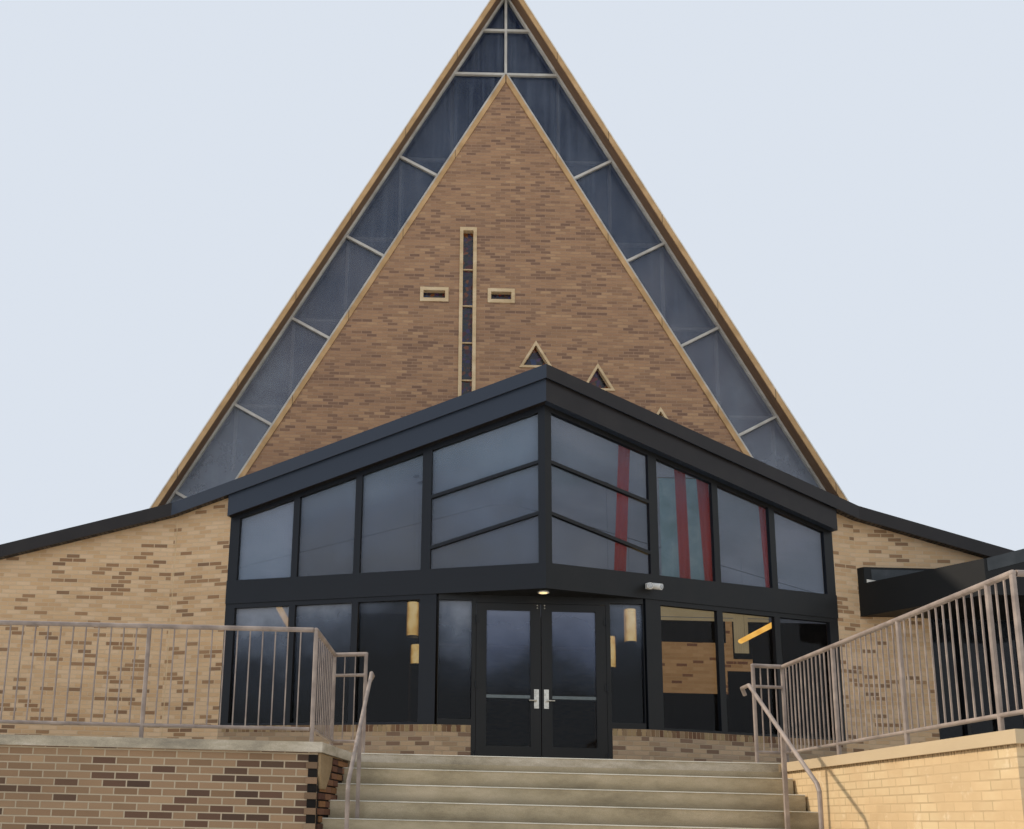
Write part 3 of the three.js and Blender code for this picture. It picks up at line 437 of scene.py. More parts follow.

# %% [markdown]
# ## Glass
#
# The front is glazed with lightly mirrored solar glass. By day it gives back the sky, cooler and
# darker towards its foot, and shows the hall dimly behind it. The panes beside the gable are older
# and streaked by rain. Both are a glossy shader, partly see-through, whose colour is a painted
# reflection that changes with height, and on the front from pane to pane.


# %% Solar glass and streaked glass
def sky_glass(name, stops, low, high, alpha, streaks=0.0, mottle=0.2, panes=(), alpha_right=None):
    """The colour is a painted reflection. Its ramp is read by (height - low) / (high - low), plus soft
    noise, plus a step for each pane edge (x, step) to the left of the point. Heights are above the
    landing. Streaks add noise drawn out 30 times along the height. A second alpha, if given, holds
    for the front's right half."""
    material, add, place = new_finish(name, Roughness=0.04, Specular_IOR_Level=0.3, Alpha=alpha)
    split = add("SeparateXYZ", [place]).node.outputs
    stepped = add("MapRange", [split["Z"], LANDING_Z + low, LANDING_Z + high])
    for edge, step in panes:
        past = add("Math GREATER_THAN", [split["X"], edge])
        stepped = add("Math MULTIPLY_ADD", [past, step, stepped])
    soft = add("TexNoise", {"Vector": place, "Scale": 0.9, "Detail": 5.0, "Roughness": 0.6})
    sway = add("MapRange", [soft, 0.3, 0.7, -mottle, mottle])
    mixed = add("Math ADD", [stepped, sway], use_clamp=True)
    # Painted reflection: the ramp's colours stand for the sky given back by the glass, darker towards the foot.
    colour = add("ValToRGB", [mixed], stops)
    if streaks:
        drawn = add("Mapping", {"Vector": place, "Scale": (9.0, 9.0, 0.3)})
        rain = add("TexNoise", {"Vector": drawn, "Scale": 1.6, "Detail": 5.0})
        amount = add("MapRange", [rain, 0.45, 0.7, 0.0, streaks])
        colour = add("MixRGB", [amount, colour, "#7B8798"])
    shade(material, Base_Color=colour)
    if alpha_right:
        shade(material, Alpha=add("MapRange", [split["X"], -0.01, 0.01, alpha, alpha_right]))
    return material


upper_glass = sky_glass(
    "solar glass, upper storey", [(0.0, "#5A5F68"), (0.3, "#616D81"), (0.6, "#7A8CA0"), (1.0, "#929FB5")],
    3.2, 6.0, 0.42, panes=[(-6.0, 0.8), (-3.66, -0.8), (2.69, 0.4), (3.66, 0.4)], alpha_right=0.15)
mirror_glass = sky_glass(
    "solar glass, lower storey left",
    [(0.0, "#0A0A0A"), (0.35, "#0D0F11"), (0.6, "#262C36"), (0.8, "#616B7C"), (1.0, "#9AA2B0")],
    0.6, 2.9, 0.66, mottle=0.14,
    panes=[(-6.0, 0.27), (-3.66, -0.14), (-2.69, -0.28), (-1.6, 0.28), (0.5, -0.1)])
clear_glass = sky_glass("solar glass, lower storey right",
                        [(0.0, "#060606"), (0.5, "#0C0A09"), (1.0, "#171410")], 0.7, 2.6, 0.34)
side_glass = sky_glass("solar glass, side wing",
                       [(0.0, "#090A0B"), (0.6, "#111417"), (1.0, "#1B2127")], 0.2, 2.6, 0.85)
door_glass = sky_glass(
    "solar glass, doors",
    [(0.0, "#080808"), (0.40, "#0E1013"), (0.55, "#2A313C"), (0.75, "#5B667F"), (1.0, "#7C87A1")],
    0.2, 2.4, 0.6, mottle=0.12)
gable_glass = sky_glass(
    "float glass, rain streaked", [(0.0, "#969EAA"), (0.3, "#777A86"), (0.65, "#4F596C"), (1.0, "#212D45")],
    5.0, 17.0, 0.55, streaks=0.3, mottle=0.14)

# %% [markdown]
# ## Stone surrounds and shingles
#
# The small windows of the gable sit in cast-stone surrounds the colour of cream. The roofs carry
# asphalt shingles: strips of felt with crushed slate pressed in, dark and dull. Each tab is 300 mm
# wide and shows 67 mm of its height. The roofs show from above and from the sides.

# %% Cast stone and asphalt shingles
cast_stone = floated_concrete("cast stone, cream", ["#B79C76", "#CDB38D", "#DCC6A3"])
shingles = clay_brick("asphalt shingle, slate grit", ["#4B443D", "#5A524A", "#544C47"],
                      ["#3A3531", "#443E39"], "#2A2725", 0.3, "#36322E", length=0.3, joint=0.012)

# %% Give every solid its finish
FINISHES = [
    (rose_brick, "gable_wall_front gable_wall_rear"),
    (buff_brick, "nave_wall_left nave_wall_right wing_wall_left wing_wall_right"),
    (knee_brick_painted_shade, "knee_wall_left knee_wall_right"),
    (brown_brick, "retaining_wall_left"),
    (painted_brick, "retaining_wall_right"),
    (step_concrete, "stair_flight"),
    (slab_concrete, "terrace_slab"),
    (floor_concrete, "floor_slab"),
    (fascia_bronze, "fascia_upper fascia_lower"),
    (bronze, "spandrel_band point_soffit upper_window_frame lower_window_frame_left side_window_frame"),
    (bronze, "lower_window_frame_right entrance_frame door_leaf_left door_leaf_right"),
    (canopy_bronze, "side_canopy"),
    (tan_metal, "gable_coping gable_board_front gable_board_rear"),
    (grey_metal, "gable_glazing_bars"),
    (upper_glass, "upper_glass"),
    (mirror_glass, "lower_glass_left side_pane_left side_pane_right"),
    (clear_glass, "lower_glass_right"),
    (side_glass, "side_glass"),
    (door_glass, "door_glass_left door_glass_right"),
    (gable_glass, "gable_glass"),
    (cast_stone, "cross_window_stem cross_window_arm_left cross_window_arm_right"),
    (cast_stone, "triangle_window_1 triangle_window_2 triangle_window_3"),
    (shingles, "nave_roof_left nave_roof_right ridge_cap front_roof"),
    (taupe_steel, " ".join(name for name in nodes if name.startswith(("guard", "handrail")))),
    (satin_nickel, "door_lever_left door_lever_right"),
    (white_enamel, "downlight floodlight"),
]
dressed = set()
for material, names in FINISHES:
    for name in names.split():
        nodes[name].material_slots[0].material = material
        dressed.add(name)
print("solids dressed", len(dressed), "left", sorted(set(nodes) - dressed))

# %% [markdown]
# ## Making new pieces
#
# Every new piece below is a surface worked out with arrays: a grid of points, a profile carried
# along a path, or a set of blocks that share one rule. The helpers turn arrays into meshes, so
# that each later cell holds only the piece's own shape.

# %% Mesh helpers
CORNERS = np.array([[i, j, k] for k in (-1, 1) for j in (-1, 1) for i in (-1, 1)], float)
BLOCK_FACES = np.array([[0, 2, 3, 1], [4, 5, 7, 6], [0, 1, 5, 4], [2, 6, 7, 3], [0, 4, 6, 2], [1, 3, 7, 5]])


def xyz(x, y, z):
    """Points from three arrays or numbers, each repeated to the others' shape."""
    return np.stack(np.broadcast_arrays(x, y, z), -1).astype(float)


def blocks(centres, halves, axes=np.eye(3)):
    """Corners are each centre plus the eight sign patterns times the half sizes along the axes."""
    centres = np.atleast_2d(np.asarray(centres, float))
    halves = np.broadcast_to(np.asarray(halves, float), centres.shape)
    offsets = (CORNERS[None] * halves[:, None]) @ np.asarray(axes, float)
    faces = BLOCK_FACES[None] + 8 * np.arange(len(centres))[:, None, None]
    return (centres[:, None] + offsets).reshape(-1, 3), faces.reshape(-1, 4)


def grid_faces(rows, columns, wrap=False):
    """Quads between neighbours (i, j), (i, j + 1), (i + 1, j + 1) and (i + 1, j) of a grid."""
    i, j = np.meshgrid(np.arange(rows - 1), np.arange(columns if wrap else columns - 1), indexing="ij")
    k = (j + 1) % columns
    quads = [i * columns + j, i * columns + k, (i + 1) * columns + k, (i + 1) * columns + j]
    return np.stack(quads, -1).reshape(-1, 4)


def surface(points, flip=False):
    """A grid of points (rows, columns, 3) as one sheet, turned over if it is flipped."""
    faces = grid_faces(*points.shape[:2])
    return points.reshape(-1, 3), faces[:, ::-1] if flip else faces


def capped(rows, columns):
    """Faces of a closed tube: the quads round it, then one face over each end."""
    ends = [list(range(columns))[::-1], list(range((rows - 1) * columns, rows * columns))]
    return grid_faces(rows, columns, wrap=True).tolist() + ends


def oval(half_width, half_height, sides):
    """A profile: (half width * cos a, half height * sin a) at equal steps of the angle a."""
    angle = np.linspace(0, 2 * math.pi, sides, endpoint=False)
    return np.stack([half_width * np.cos(angle), half_height * np.sin(angle)], -1)


def carried(outline, path, up=(0.0, 0.0, 1.0)):
    """Point = path + a * across + b * lift, where across is level and square to the path."""
    outline, path = np.asarray(outline, float), np.asarray(path, float)
    along = np.gradient(path, axis=0)
    along /= np.linalg.norm(along, axis=1, keepdims=True)
    side = np.cross(along, up)
    side /= np.linalg.norm(side, axis=1, keepdims=True)
    lift = np.cross(side, along)
    points = path[:, None] + outline[None, :, :1] * side[:, None] + outline[None, :, 1:] * lift[:, None]
    return points.reshape(-1, 3), capped(len(path), len(outline))


def turned(profile, centre, sides=24, axes=np.eye(3)):
    """Point = centre + radius * (cos, sin) in the first two axes + height along the third."""
    profile = np.asarray(profile, float)
    ring = np.concatenate([oval(1.0, 1.0, sides), np.zeros((sides, 1))], -1)
    points = profile[:, None, :1] * ring[None] + profile[:, None, 1:] * np.array([0.0, 0.0, 1.0])
    placed = points.reshape(-1, 3) @ np.asarray(axes, float) + np.asarray(centre, float)
    return placed, capped(len(profile), sides)


def joined(*shapes):
    """Several (points, faces) pairs as one, with each face list moved past the points before it."""
    points = np.concatenate([shape[0] for shape in shapes])
    starts = np.cumsum([0] + [len(shape[0]) for shape in shapes[:-1]])
    faces = [[int(v) + int(start) for v in face] for shape, start in zip(shapes, starts) for face in shape[1]]
    return points, faces


def make_piece(name, shape, material, body="church", bevel=0.0, smooth=False):
    """Sets the points in place, builds the mesh and lets it ride on its body."""
    points, faces = shape
    mesh = bpy.data.meshes.new(name)
    mesh.from_pydata(settle(points).tolist(), [], [[int(v) for v in face] for face in faces])
    mesh.materials.append(material)
    mesh.polygons.foreach_set("use_smooth", np.full(len(mesh.polygons), smooth))
    mesh.update()
    piece = bpy.data.objects.new(name, mesh)
    bpy.context.scene.collection.objects.link(piece)
    if bevel:
        edge = piece.modifiers.new("worn edge", "BEVEL")
        edge.width, edge.segments, edge.limit_method = bevel, 2, "ANGLE"
    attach(piece, body)
    print(name, len(mesh.polygons), "faces")
    return piece


def colour_points(piece, layer_name, colours):
    """Gives every point of the piece its own linear colour, in a layer that a material reads."""
    layer = piece.data.color_attributes.new(layer_name, "FLOAT_COLOR", "POINT")
    layer.data.foreach_set("color", colours.reshape(-1).astype(np.float32))


def prow_axes(side):
    """Rows: along the pointed wall, square to it, and up. They always form a right-handed set."""
    along = np.array([side * COS, SIN, 0.0])
    return np.stack([along, np.cross([0.0, 0.0, 1.0], along), [0.0, 0.0, 1.0]])


# %% [markdown]
# ## Nosings
#
# The front edge of each tread was cast with a small round, and feet keep it cleaner and paler
# than the rest. It is the light line that reads as a step from below. The profile is a quarter
# round, 9 mm in radius, carried across the stair at every edge.

# %% Worn nosings on the treads
NOSE, PROUD = 0.009, 0.0015
angle = np.linspace(0, math.pi / 2, 5)
quarter = np.stack([NOSE * np.sin(angle), NOSE * (np.cos(angle) - 1) + PROUD], -1)
nose_profile = np.concatenate([quarter, [[-0.020, -0.012], [-0.020, PROUD]]])
worn_concrete = floated_concrete("floated concrete, worn nosing", ["#B4AE9C", "#C9C4B4", "#D8D4C6"])
strips = []
for step in range(RISERS):
    y = STAIR_TOP_Y - TREAD * step
    left = LEFT_CORNER_X + SKEW * max(0.0, y - TERRACE_FRONT) + 0.055 * (step == 0)
    stations = np.linspace(left + 0.002, STAIR_RIGHT - 0.002, 9)
    strips.append(carried(nose_profile, xyz(stations, y, -RISER * step)))
make_piece("stair_nosings", joined(*strips), worn_concrete)

# %% [markdown]
# ## Leaded glass
#
# The cross and the three triangles hold small pieces of coloured glass in lead strips. Nothing in
# them is a picture: it is a loose mosaic of dark violet, red, amber and blue. Each pane is a fine
# grid. Every grid point finds its nearest and second nearest seed, the nearest gives the colour,
# and where the two are almost equally far the grid rises into a lead strip.

# %% Mosaic of coloured glass with raised lead
leaded_glass, add, place = new_finish("leaded glass, coloured in the pot", Roughness=0.12, IOR=1.52)
pot_colour = add("VertexColor", layer_name="mosaic")
ripple = add("TexNoise", {"Vector": place, "Scale": 60.0})
waved = add("Bump", {"Strength": 0.3, "Distance": 0.002, "Height": ripple})
shade(leaded_glass, Base_Color=pot_colour, Normal=waved)
rng = np.random.default_rng(17)
PANE_Y, GRID, LEAD_WIDTH = GABLE_Y + 0.092, 0.014, 0.012
MOSAIC = np.array([linear(c)[:3] for c in ("#241830", "#4A1420", "#2A1F4A", "#171420", "#5C1F1E", "#1D2A4C",
                                           "#382046", "#6A3A1C")])
LEAD = np.array(linear("#2B2A29")[:3])


def mosaic(name, corners, seeds, triangle=False):
    """Height = 2 mm where (second distance - first distance) is under 12 mm, and 0 elsewhere. The
    grid runs over the box between the corners, or narrows to a point for a triangle."""
    (x0, z0), (x1, z1) = corners
    columns, rows = max(8, int((x1 - x0) / GRID)), max(8, int((z1 - z0) / GRID))
    u, v = np.meshgrid(np.linspace(0, 1, columns), np.linspace(0, 1, rows))
    x = (x0 + x1) / 2 + (u - 0.5) * (x1 - x0) * ((1 - v) if triangle else 1.0)
    z = z0 + (z1 - z0) * v
    seed_x, seed_z = rng.uniform(x0, x1, seeds), rng.uniform(z0, z1, seeds)
    distance = np.hypot(x[..., None] - seed_x, z[..., None] - seed_z)
    order = np.argsort(distance, axis=-1)
    first, second = (np.take_along_axis(distance, order[..., k:k + 1], -1)[..., 0] for k in (0, 1))
    lead = (second - first) < LEAD_WIDTH
    colour = MOSAIC[order[..., 0] % len(MOSAIC)] * rng.uniform(0.6, 1.3, seeds)[order[..., 0]][..., None]
    colour = np.where(lead[..., None], LEAD, colour)
    piece = make_piece(name, surface(xyz(x, PANE_Y - 0.002 * lead, z)), leaded_glass)
    colour_points(piece, "mosaic", np.concatenate([colour, np.ones((*colour.shape[:2], 1))], -1))


CROSS_X = -0.790
mosaic("leaded_glass_stem", ((CROSS_X - 0.108, 6.68), (CROSS_X + 0.108, 11.725)), 230)
mosaic("leaded_glass_arm_left", ((CROSS_X - 0.933, 10.125), (CROSS_X - 0.477, 10.300)), 22)
mosaic("leaded_glass_arm_right", ((CROSS_X + 0.492, 10.125), (CROSS_X + 0.918, 10.300)), 22)
for number, (x, z) in enumerate([(0.640, 8.590), (1.920, 8.110), (3.190, 7.170)], 1):
    mosaic(f"leaded_glass_triangle_{number}", ((x - 0.262, z + 0.052), (x + 0.262, z + 0.505)), 18, True)

# %% [markdown]
# ## Edge of the steep roof
#
# A folded white drip edge runs along the outer edge of the tan boards. It is only 22 mm wide, but
# it catches the light and draws the outline of the whole building against the sky.

# %% White drip edge on the gable boards
EDGE_WIDTH, BOARD_FRONT, BOARD_TOP = 0.022, GABLE_Y - OVERHANG - 0.028, ROOF_APEX + 0.026
edges_made = []
for side in (-1, 1):
    x = np.linspace(0.0, 7.93, 12) * side
    path = xyz(x, BOARD_FRONT, BOARD_TOP - STEEP * np.abs(x))
    inner = path - np.array([side * STEEP, 0, 1]) / math.hypot(1, STEEP) * EDGE_WIDTH
    rear, front = np.array([0, 0.004, 0]), np.array([0, -0.006, 0])
    ring = np.stack([path + rear, path + front, inner + front, inner + rear], 1)
    quads = grid_faces(12, 4, wrap=True)[:, ::side].tolist()
    edges_made.append((ring.reshape(-1, 3), [*quads, [0, 1, 2, 3], [47, 46, 45, 44]]))
make_piece("gable_drip_edge", joined(*edges_made), pale_trim)

# %% Boarded soffit of the steep roof
# Stained boards with long grain make a warm brown shadow under the roof's edge.
soffit_board = mottled("tongued softwood, tan stain", [(0.3, "#6B523F"), (0.7, "#86694F")], 2.0, 0.7,
                       stretch=(1.0, 24.0, 1.0), detail=6.0)
strips = []
for side in (-1, 1):
    x = np.linspace(0.12, 7.9, 12) * side
    rows = [[GABLE_Y - 0.248], [GABLE_Y - 0.002]]
    strips.append(surface(xyz(x, rows, ROOF_APEX - 0.2135 - STEEP * np.abs(x)), flip=side < 0))
make_piece("gable_soffit", joined(*strips), soffit_board)

# %% [markdown]
# ## The hall behind the glass
#
# The windows let the eye into the hall, so the hall needs its inner surfaces. Its back wall is
# lined with near-black boards, whose darkness is painted shade for the dim hall. To the right the
# lining leaves a patch of buff brick, a beige bulkhead and a fluted pilaster, all lit by the lamps.
# The ceiling is plaster, cool and dim in the light from the sky. The brick, plaster and ceiling
# each glow a little in their own colour: painted light, in place of the lamps and the sky.

# %% Finishes of the hall
# The near-black boards are painted shade for the dim hall and a ground for the lamps, with only a
# hint of upright grain.
dark_board_painted_shade = mottled("hardwood panelling, near black painted shade",
                     [(0.3, "#100E0D"), (0.5, "#1A1715"), (0.7, "#24201C")], 2.0, 0.6,
                     stretch=(14.0, 14.0, 0.8), detail=6.0)
# Painted light: the beige plaster glows as if lit by the lamps, and the cool plaster as if lit by the sky.
beige_plaster = mottled("floated plaster, beige emulsion", [(0.3, "#A08F6C"), (0.7, "#AF9E7B")], 2.0, 0.8,
                        detail=5.0, glow=0.85)
cool_plaster = mottled("floated plaster, cool grey emulsion",
                       [(0.3, "#50575F"), (0.5, "#5A5F69"), (0.7, "#656972")], 0.8, 0.8,
                       detail=5.0, glow=0.66)
lit_brick = clay_brick("fired clay brick, lamplit", ["#B08759", "#BC9264", "#C49B6D"],
                       ["#7A533B", "#865D40"], "#BA9466", 0.13, "#8F6F49", 0.15)
# Painted light: the brick patch glows in its own colour, as if lit by the lamps.
shade(lit_brick, Emission_Color=principled(lit_brick, "Base_Color").links[0].from_socket)
principled(lit_brick, "Emission_Strength").default_value = 0.6

# %% Lining of the hall
WALL_Y = 5.135


def on_back_wall(rectangles, thick=0.03):
    """Each rectangle (x0, x1, z0, z1) becomes a board that stands on the hall's back wall."""
    x0, x1, z0, z1 = np.array(rectangles, float).T
    return blocks(xyz((x0 + x1) / 2, WALL_Y, (z0 + z1) / 2), xyz((x1 - x0) / 2, thick, (z1 - z0) / 2))


panels = on_back_wall([
    (-8.0, -1.85, 0.002, 3.29), (-8.39, -8.0, 0.002, 3.24), (8.0, 8.39, 0.002, 3.24),
    (1.85, 3.05, 0.002, 3.29), (3.05, 4.30, 0.002, 1.86), (3.05, 4.30, 2.86, 3.29),
    (4.30, 8.0, 0.002, 2.31), (4.80, 8.0, 2.31, 3.29), (4.43, 4.80, 2.55, 3.29), (-1.85, 1.85, 2.72, 3.29)])
make_piece("hall_panelling", panels, dark_board_painted_shade, bevel=0.002)
patch = on_back_wall([(3.05, 4.30, 1.862, 2.858), (4.302, 4.428, 2.312, 3.288), (4.432, 4.798, 2.312, 2.548)])
make_piece("hall_brick_patch", patch, lit_brick)
bulkhead = on_back_wall([(3.05, 5.15, 3.365, 3.62), (3.05, 5.15, 3.292, 3.350)], 0.034)
make_piece("hall_bulkhead", bulkhead, beige_plaster, bevel=0.002)
flute_x = np.linspace(4.45, 4.73, 57)
flute_y = WALL_Y - 0.054 - 0.006 * np.abs(np.sin(math.pi * (flute_x - 4.45) / 0.04))
make_piece("hall_pilaster", surface(xyz(flute_x, flute_y, [[2.66], [3.0], [3.36]])), beige_plaster)
upper_x = np.linspace(-7.6, 7.6, 33)
wall_top = LOW_UNDER - 0.02 - LOW_SLOPE * np.abs(upper_x)
upper_wall = surface(xyz(upper_x, WALL_Y - 0.02, np.stack([np.full(33, 3.293), wall_top])))
make_piece("hall_upper_wall", upper_wall, cool_plaster)
ceiling_parts = []
for side in (-1, 1):
    front = np.array([along_prow(side, d, -0.30, 0.0) for d in np.linspace(-0.087, 5.4, 12)])
    front = np.concatenate([front, xyz(side * np.linspace(5.4, 10.0, 4), 2.05, 0.0)])
    front[:, 2] = LOW_UNDER - 0.012 - LOW_SLOPE * np.abs(front[:, 0])
    rear = xyz(front[:, 0], 5.10, front[:, 2])
    ceiling_parts.append(surface(np.stack([front, rear]), flip=side > 0))
make_piece("hall_ceiling", joined(*ceiling_parts), cool_plaster)

# %% [markdown]
# ## Lamps and banners behind the glass
#
# Four drum lamps and two linear ones hang on thin rods in the entrance hall, and four narrow red
# banners and a wider grey cloth hang from its ceiling. They are what the eye finds behind the
# glass. The drums are frosted, lit from inside, with a metal band at each end. The banners are
# single cloths, each sewn over a dowel, with soft upright folds that die away towards the top.

# %% Drum lamps
frosted, add, place = new_finish("opal acrylic, lit from inside", Roughness=0.5, IOR=1.49,
                                 Emission_Strength=4.0)
cloud = add("TexNoise", {"Vector": place, "Scale": 7.0})
# Painted shade: the drum's colour and glow darken towards its left and right sides, by the object's own normal.
turned_away = add("SeparateXYZ", [place.node.outputs["Normal"]])
rim = add("Math POWER", [turned_away, 4.0])
cloud_with_painted_rim_shade = add("Math MULTIPLY_ADD", [rim, -0.8, cloud])
lit = add("ValToRGB", [cloud_with_painted_rim_shade], [(0.0, "#A0783A"), (0.3, "#D6AE66"), (0.5, "#E4C483"), (0.7, "#EDD39B")])
shade(frosted, Base_Color=lit, Emission_Color=lit)
HALL_Y, ROD = 2.5, 0.002
LAMPS = [(-1.82, 2.31, 2.91), (-1.74, 1.90, 2.26), (1.52, 1.92, 2.48), (1.79, 2.30, 2.88)]
shades, fittings = [], []
for number, (x, low, high) in enumerate(LAMPS):
    place = (x, HALL_Y + 0.35 * (number in (1, 2)), 0.0)
    ceiling = LOW_UNDER - LOW_SLOPE * abs(x)
    shades.append(turned([[0.085, low], [0.097, low + 0.02], [0.1, (low + high) / 2], [0.097, high - 0.02],
                          [0.085, high]], place))
    for z in (low - 0.004, high - 0.018):
        fittings.append(turned([[0.07, z], [0.103, z + 0.002], [0.103, z + 0.020], [0.07, z + 0.022]], place))
    fittings.append(turned([[ROD, high], [ROD, ceiling - 0.03]], place, sides=8))
    fittings.append(turned([[0.05, ceiling - 0.03], [0.06, ceiling - 0.012], [0.06, ceiling + 0.02]], place))
make_piece("drum_lamp_shades", joined(*shades), frosted, smooth=True)
make_piece("drum_lamp_fittings", joined(*fittings), bronze)

# %% Linear lamps
# Amber acrylic, lit from inside, reads as two short bright strokes in the dark hall.
amber = mottled("opal acrylic tube, amber", [(0.3, "#D3993F"), (0.7, "#E6B45A")], 3.0, 0.5,
                glow=2.4, IOR=1.49)
TUBE_Z = 2.80
tubes, hangers = [], []
for x, start, end in ((-4.08, 2.75, 4.35), (4.40, 3.00, 4.60)):
    tubes.append(carried(oval(0.055, 0.045, 16), xyz(x, [start, (start + end) / 2, end], TUBE_Z)))
    for y in (start + 0.2, end - 0.2):
        rod_top = LOW_UNDER - LOW_SLOPE * abs(x) - 0.02
        hangers.append(turned([[ROD, TUBE_Z + 0.04], [ROD, rod_top]], (x, y, 0.0), sides=8))
make_piece("linear_lamp_tubes", joined(*tubes), amber, smooth=True)
make_piece("linear_lamp_hangers", joined(*hangers), bronze)

# %% Woven banners
banner_cloth, add, place = new_finish("woven wool banner, madder red", Roughness=0.9, Sheen_Weight=0.1,
                                      Emission_Strength=0.16)
# Madder dyes wool a dull deep red. Threads 1.5 mm apart could not be seen from the stair, so the
# weave is drawn at 12 mm. The wool and the linen glow a little in their own colours: painted light
# from the hall's lamps. The linen is paler and cooler, and the dowels almost black behind glass.
weave = add("TexWave", {"Vector": place, "Scale": 26.0, "Distortion": 1.5}, out="Fac", bands_direction="Z")
dye_and_glow = add("ValToRGB", [weave], [(0.0, "#721B0B"), (0.5, "#80200D"), (1.0, "#8C2610")])
shade(banner_cloth, Base_Color=dye_and_glow, Emission_Color=dye_and_glow)
linen = mottled("woven linen, sea grey", [(0.3, "#566D71"), (0.5, "#61777F"), (0.7, "#6F8388")], 5.0, 0.9,
                detail=4.0, glow=0.4)
dowel_wood = mottled("turned softwood, brown stain", [(0.3, "#4A382C"), (0.5, "#5B4637"), (0.7, "#6C5443")],
                     3.0, 0.6, stretch=(2.0, 30.0, 2.0), detail=6.0)
BANNER_FOOT, FOLD, DOWEL = 2.95, 0.008, 0.008


def hang_cloth(name, x, y, width, cloth, lean=0.0, folds=2.2):
    """x = middle + (u - 1/2) * width + lean * v, and the fold depth grows with the root of v."""
    top = LOW_UNDER - LOW_SLOPE * (abs(x) + width / 2) - 0.05
    length = top - BANNER_FOOT
    u, v = np.meshgrid(np.linspace(0, 1, 21), np.linspace(0, 1, 61))
    fold = FOLD * np.sqrt(v) * np.sin(2 * math.pi * (folds * u + 0.25 * v + 0.7 * x))
    woven = surface(xyz(x + (u - 0.5) * width + lean * v, y + fold, top - length * v))
    banner = make_piece(name, woven, cloth, smooth=True)
    reach = width / 2 + 0.02
    dowel = carried(oval(DOWEL, DOWEL, 8), xyz([x - reach, x, x + reach], y, top))
    make_piece(name + "_dowel", dowel, dowel_wood)


for number, (x, y, width, lean) in enumerate([(1.38, 0.95, 0.18, -0.12), (2.31, 1.25, 0.17, 0.03),
                                              (2.67, 1.30, 0.18, 0.08), (3.82, 1.75, 0.20, 0.05)], 1):
    hang_cloth(f"banner_{number}", x, y, width, banner_cloth, lean)
hang_cloth("back_cloth", 2.42, 1.50, 0.74, linen, folds=5.0)

# %% [markdown]
# ## Door furniture
#
# Each leaf has a long satin nickel plate behind its lever and a wide push bar inside, which shows
# through the glass as a pale line. Both ride on the door, so they swing with it, and so do the
# bolt heads of the closer above. The bars are satin aluminium that glows a little: painted light
# that keeps them pale behind the glass.

# %% Plates and push bars
# Painted light: the push bars glow so that they show pale through the glass.
lit_aluminium = mottled("aluminium, satin anodised", [(0.3, "#99A5A6"), (0.7, "#B1BCBC")], 30.0, 0.35,
                        detail=5.0, glow=1.3)
for side, name in ((-1, "left"), (1, "right")):
    plate = blocks([side * 0.070, DOOR_Y - 0.00545, 1.0575], [0.034, 0.00042, 0.1355])
    make_piece(f"lever_plate_{name}", plate, satin_nickel, f"door_{name}", bevel=0.0003)
    cover = joined(blocks([side * 0.470, DOOR_Y + 0.062, 1.091], [0.412, 0.004, 0.021]),
                   blocks([side * 0.470, DOOR_Y + 0.085, 1.1125], [0.412, 0.022, 0.0015]))
    make_piece(f"push_bar_cover_{name}", cover, lit_aluminium, f"door_{name}", bevel=0.001)

# %% Bolts of the door closers
BOLT_HEAD = [[0.009, 0.0], [0.009, 0.003], [0.005, 0.0055]]
outward = np.array([[1.0, 0, 0], [0, 0, 1.0], [0, -1.0, 0]])
for side, name in ((-1, "left"), (1, "right")):
    heads = [turned(BOLT_HEAD, (side * 0.052, DOOR_Y - 0.0003, z), 12, outward) for z in (2.372, 2.412)]
    make_piece(f"closer_bolts_{name}", joined(*heads), satin_nickel, f"door_{name}")

# %% [markdown]
# ## Lamps outside
#
# A recessed downlight glows in the soffit over the doors, and a twin floodlight is fixed to the
# panel band. Their lenses are domes: height = depth * (1 - (radius / rim) squared).

# %% Lenses of the outdoor lamps
# The lit prisms give one warm spot under the soffit. The unlit ones are pale and rippled.
warm_lens = mottled("prismatic glass lens, lit", [(0.3, "#F6D08A"), (0.7, "#FFE9B8")], 80.0, 0.2, glow=1.2)
clear_lens = mottled("pressed glass lens, unlit", [(0.3, "#9EA3A6"), (0.7, "#C9CCCD")], 120.0, 0.15)


def dome(rim, depth, base, rings):
    """Profile of a lens, from its rim to 1 mm from its middle."""
    radii = np.linspace(rim, 0.001, rings)
    return np.stack([radii, base + depth * (1 - (radii / rim) ** 2)], -1)


downlight = turned(dome(0.062, -0.006, 0.0, 7), (0.0, 0.220, 2.5378))
make_piece("downlight_lens", downlight, warm_lens, smooth=True)
lenses = []
for start, end in ((1.590, 1.530), (1.650, 1.710)):
    near, far = np.array(along_prow(1, start, 0.070, 2.730)), np.array(along_prow(1, end, 0.210, 2.690))
    out = (far - near) / np.linalg.norm(far - near)
    across = np.cross([0.0, 0.0, 1.0], out)
    across /= np.linalg.norm(across)
    axes = np.stack([across, np.cross(out, across), out])
    lenses.append(turned(dome(0.038, 0.007, 0.001, 6), far, 16, axes))
make_piece("floodlight_lenses", joined(*lenses), clear_lens, smooth=True)

# %% [markdown]
# ## The toothed corner
#
# Where the terrace wall turns sharply beside the stair, the bricks could not be cut to a clean
# edge. They were laid in turn from one wall and the other, which leaves a saw-tooth corner with
# dark pockets. Bricks stand out from the wall in every second course, and the pockets between
# them are lined with near-black mortar: painted shade for their depth.

# %% Bricks laid one by one
laid_brick, add, place = new_finish("fired clay brick, laid singly", Roughness=0.9, Specular_IOR_Level=0.25)
own = add("VertexColor", layer_name="fired")
grain = add("TexNoise", {"Vector": place, "Scale": 120.0})
rough_face = add("MixRGB", [0.3, own, grain], blend_type="OVERLAY")
pitted = add("Bump", {"Strength": 0.4, "Distance": 0.003, "Height": grain})
shade(laid_brick, Base_Color=rough_face, Normal=pitted)


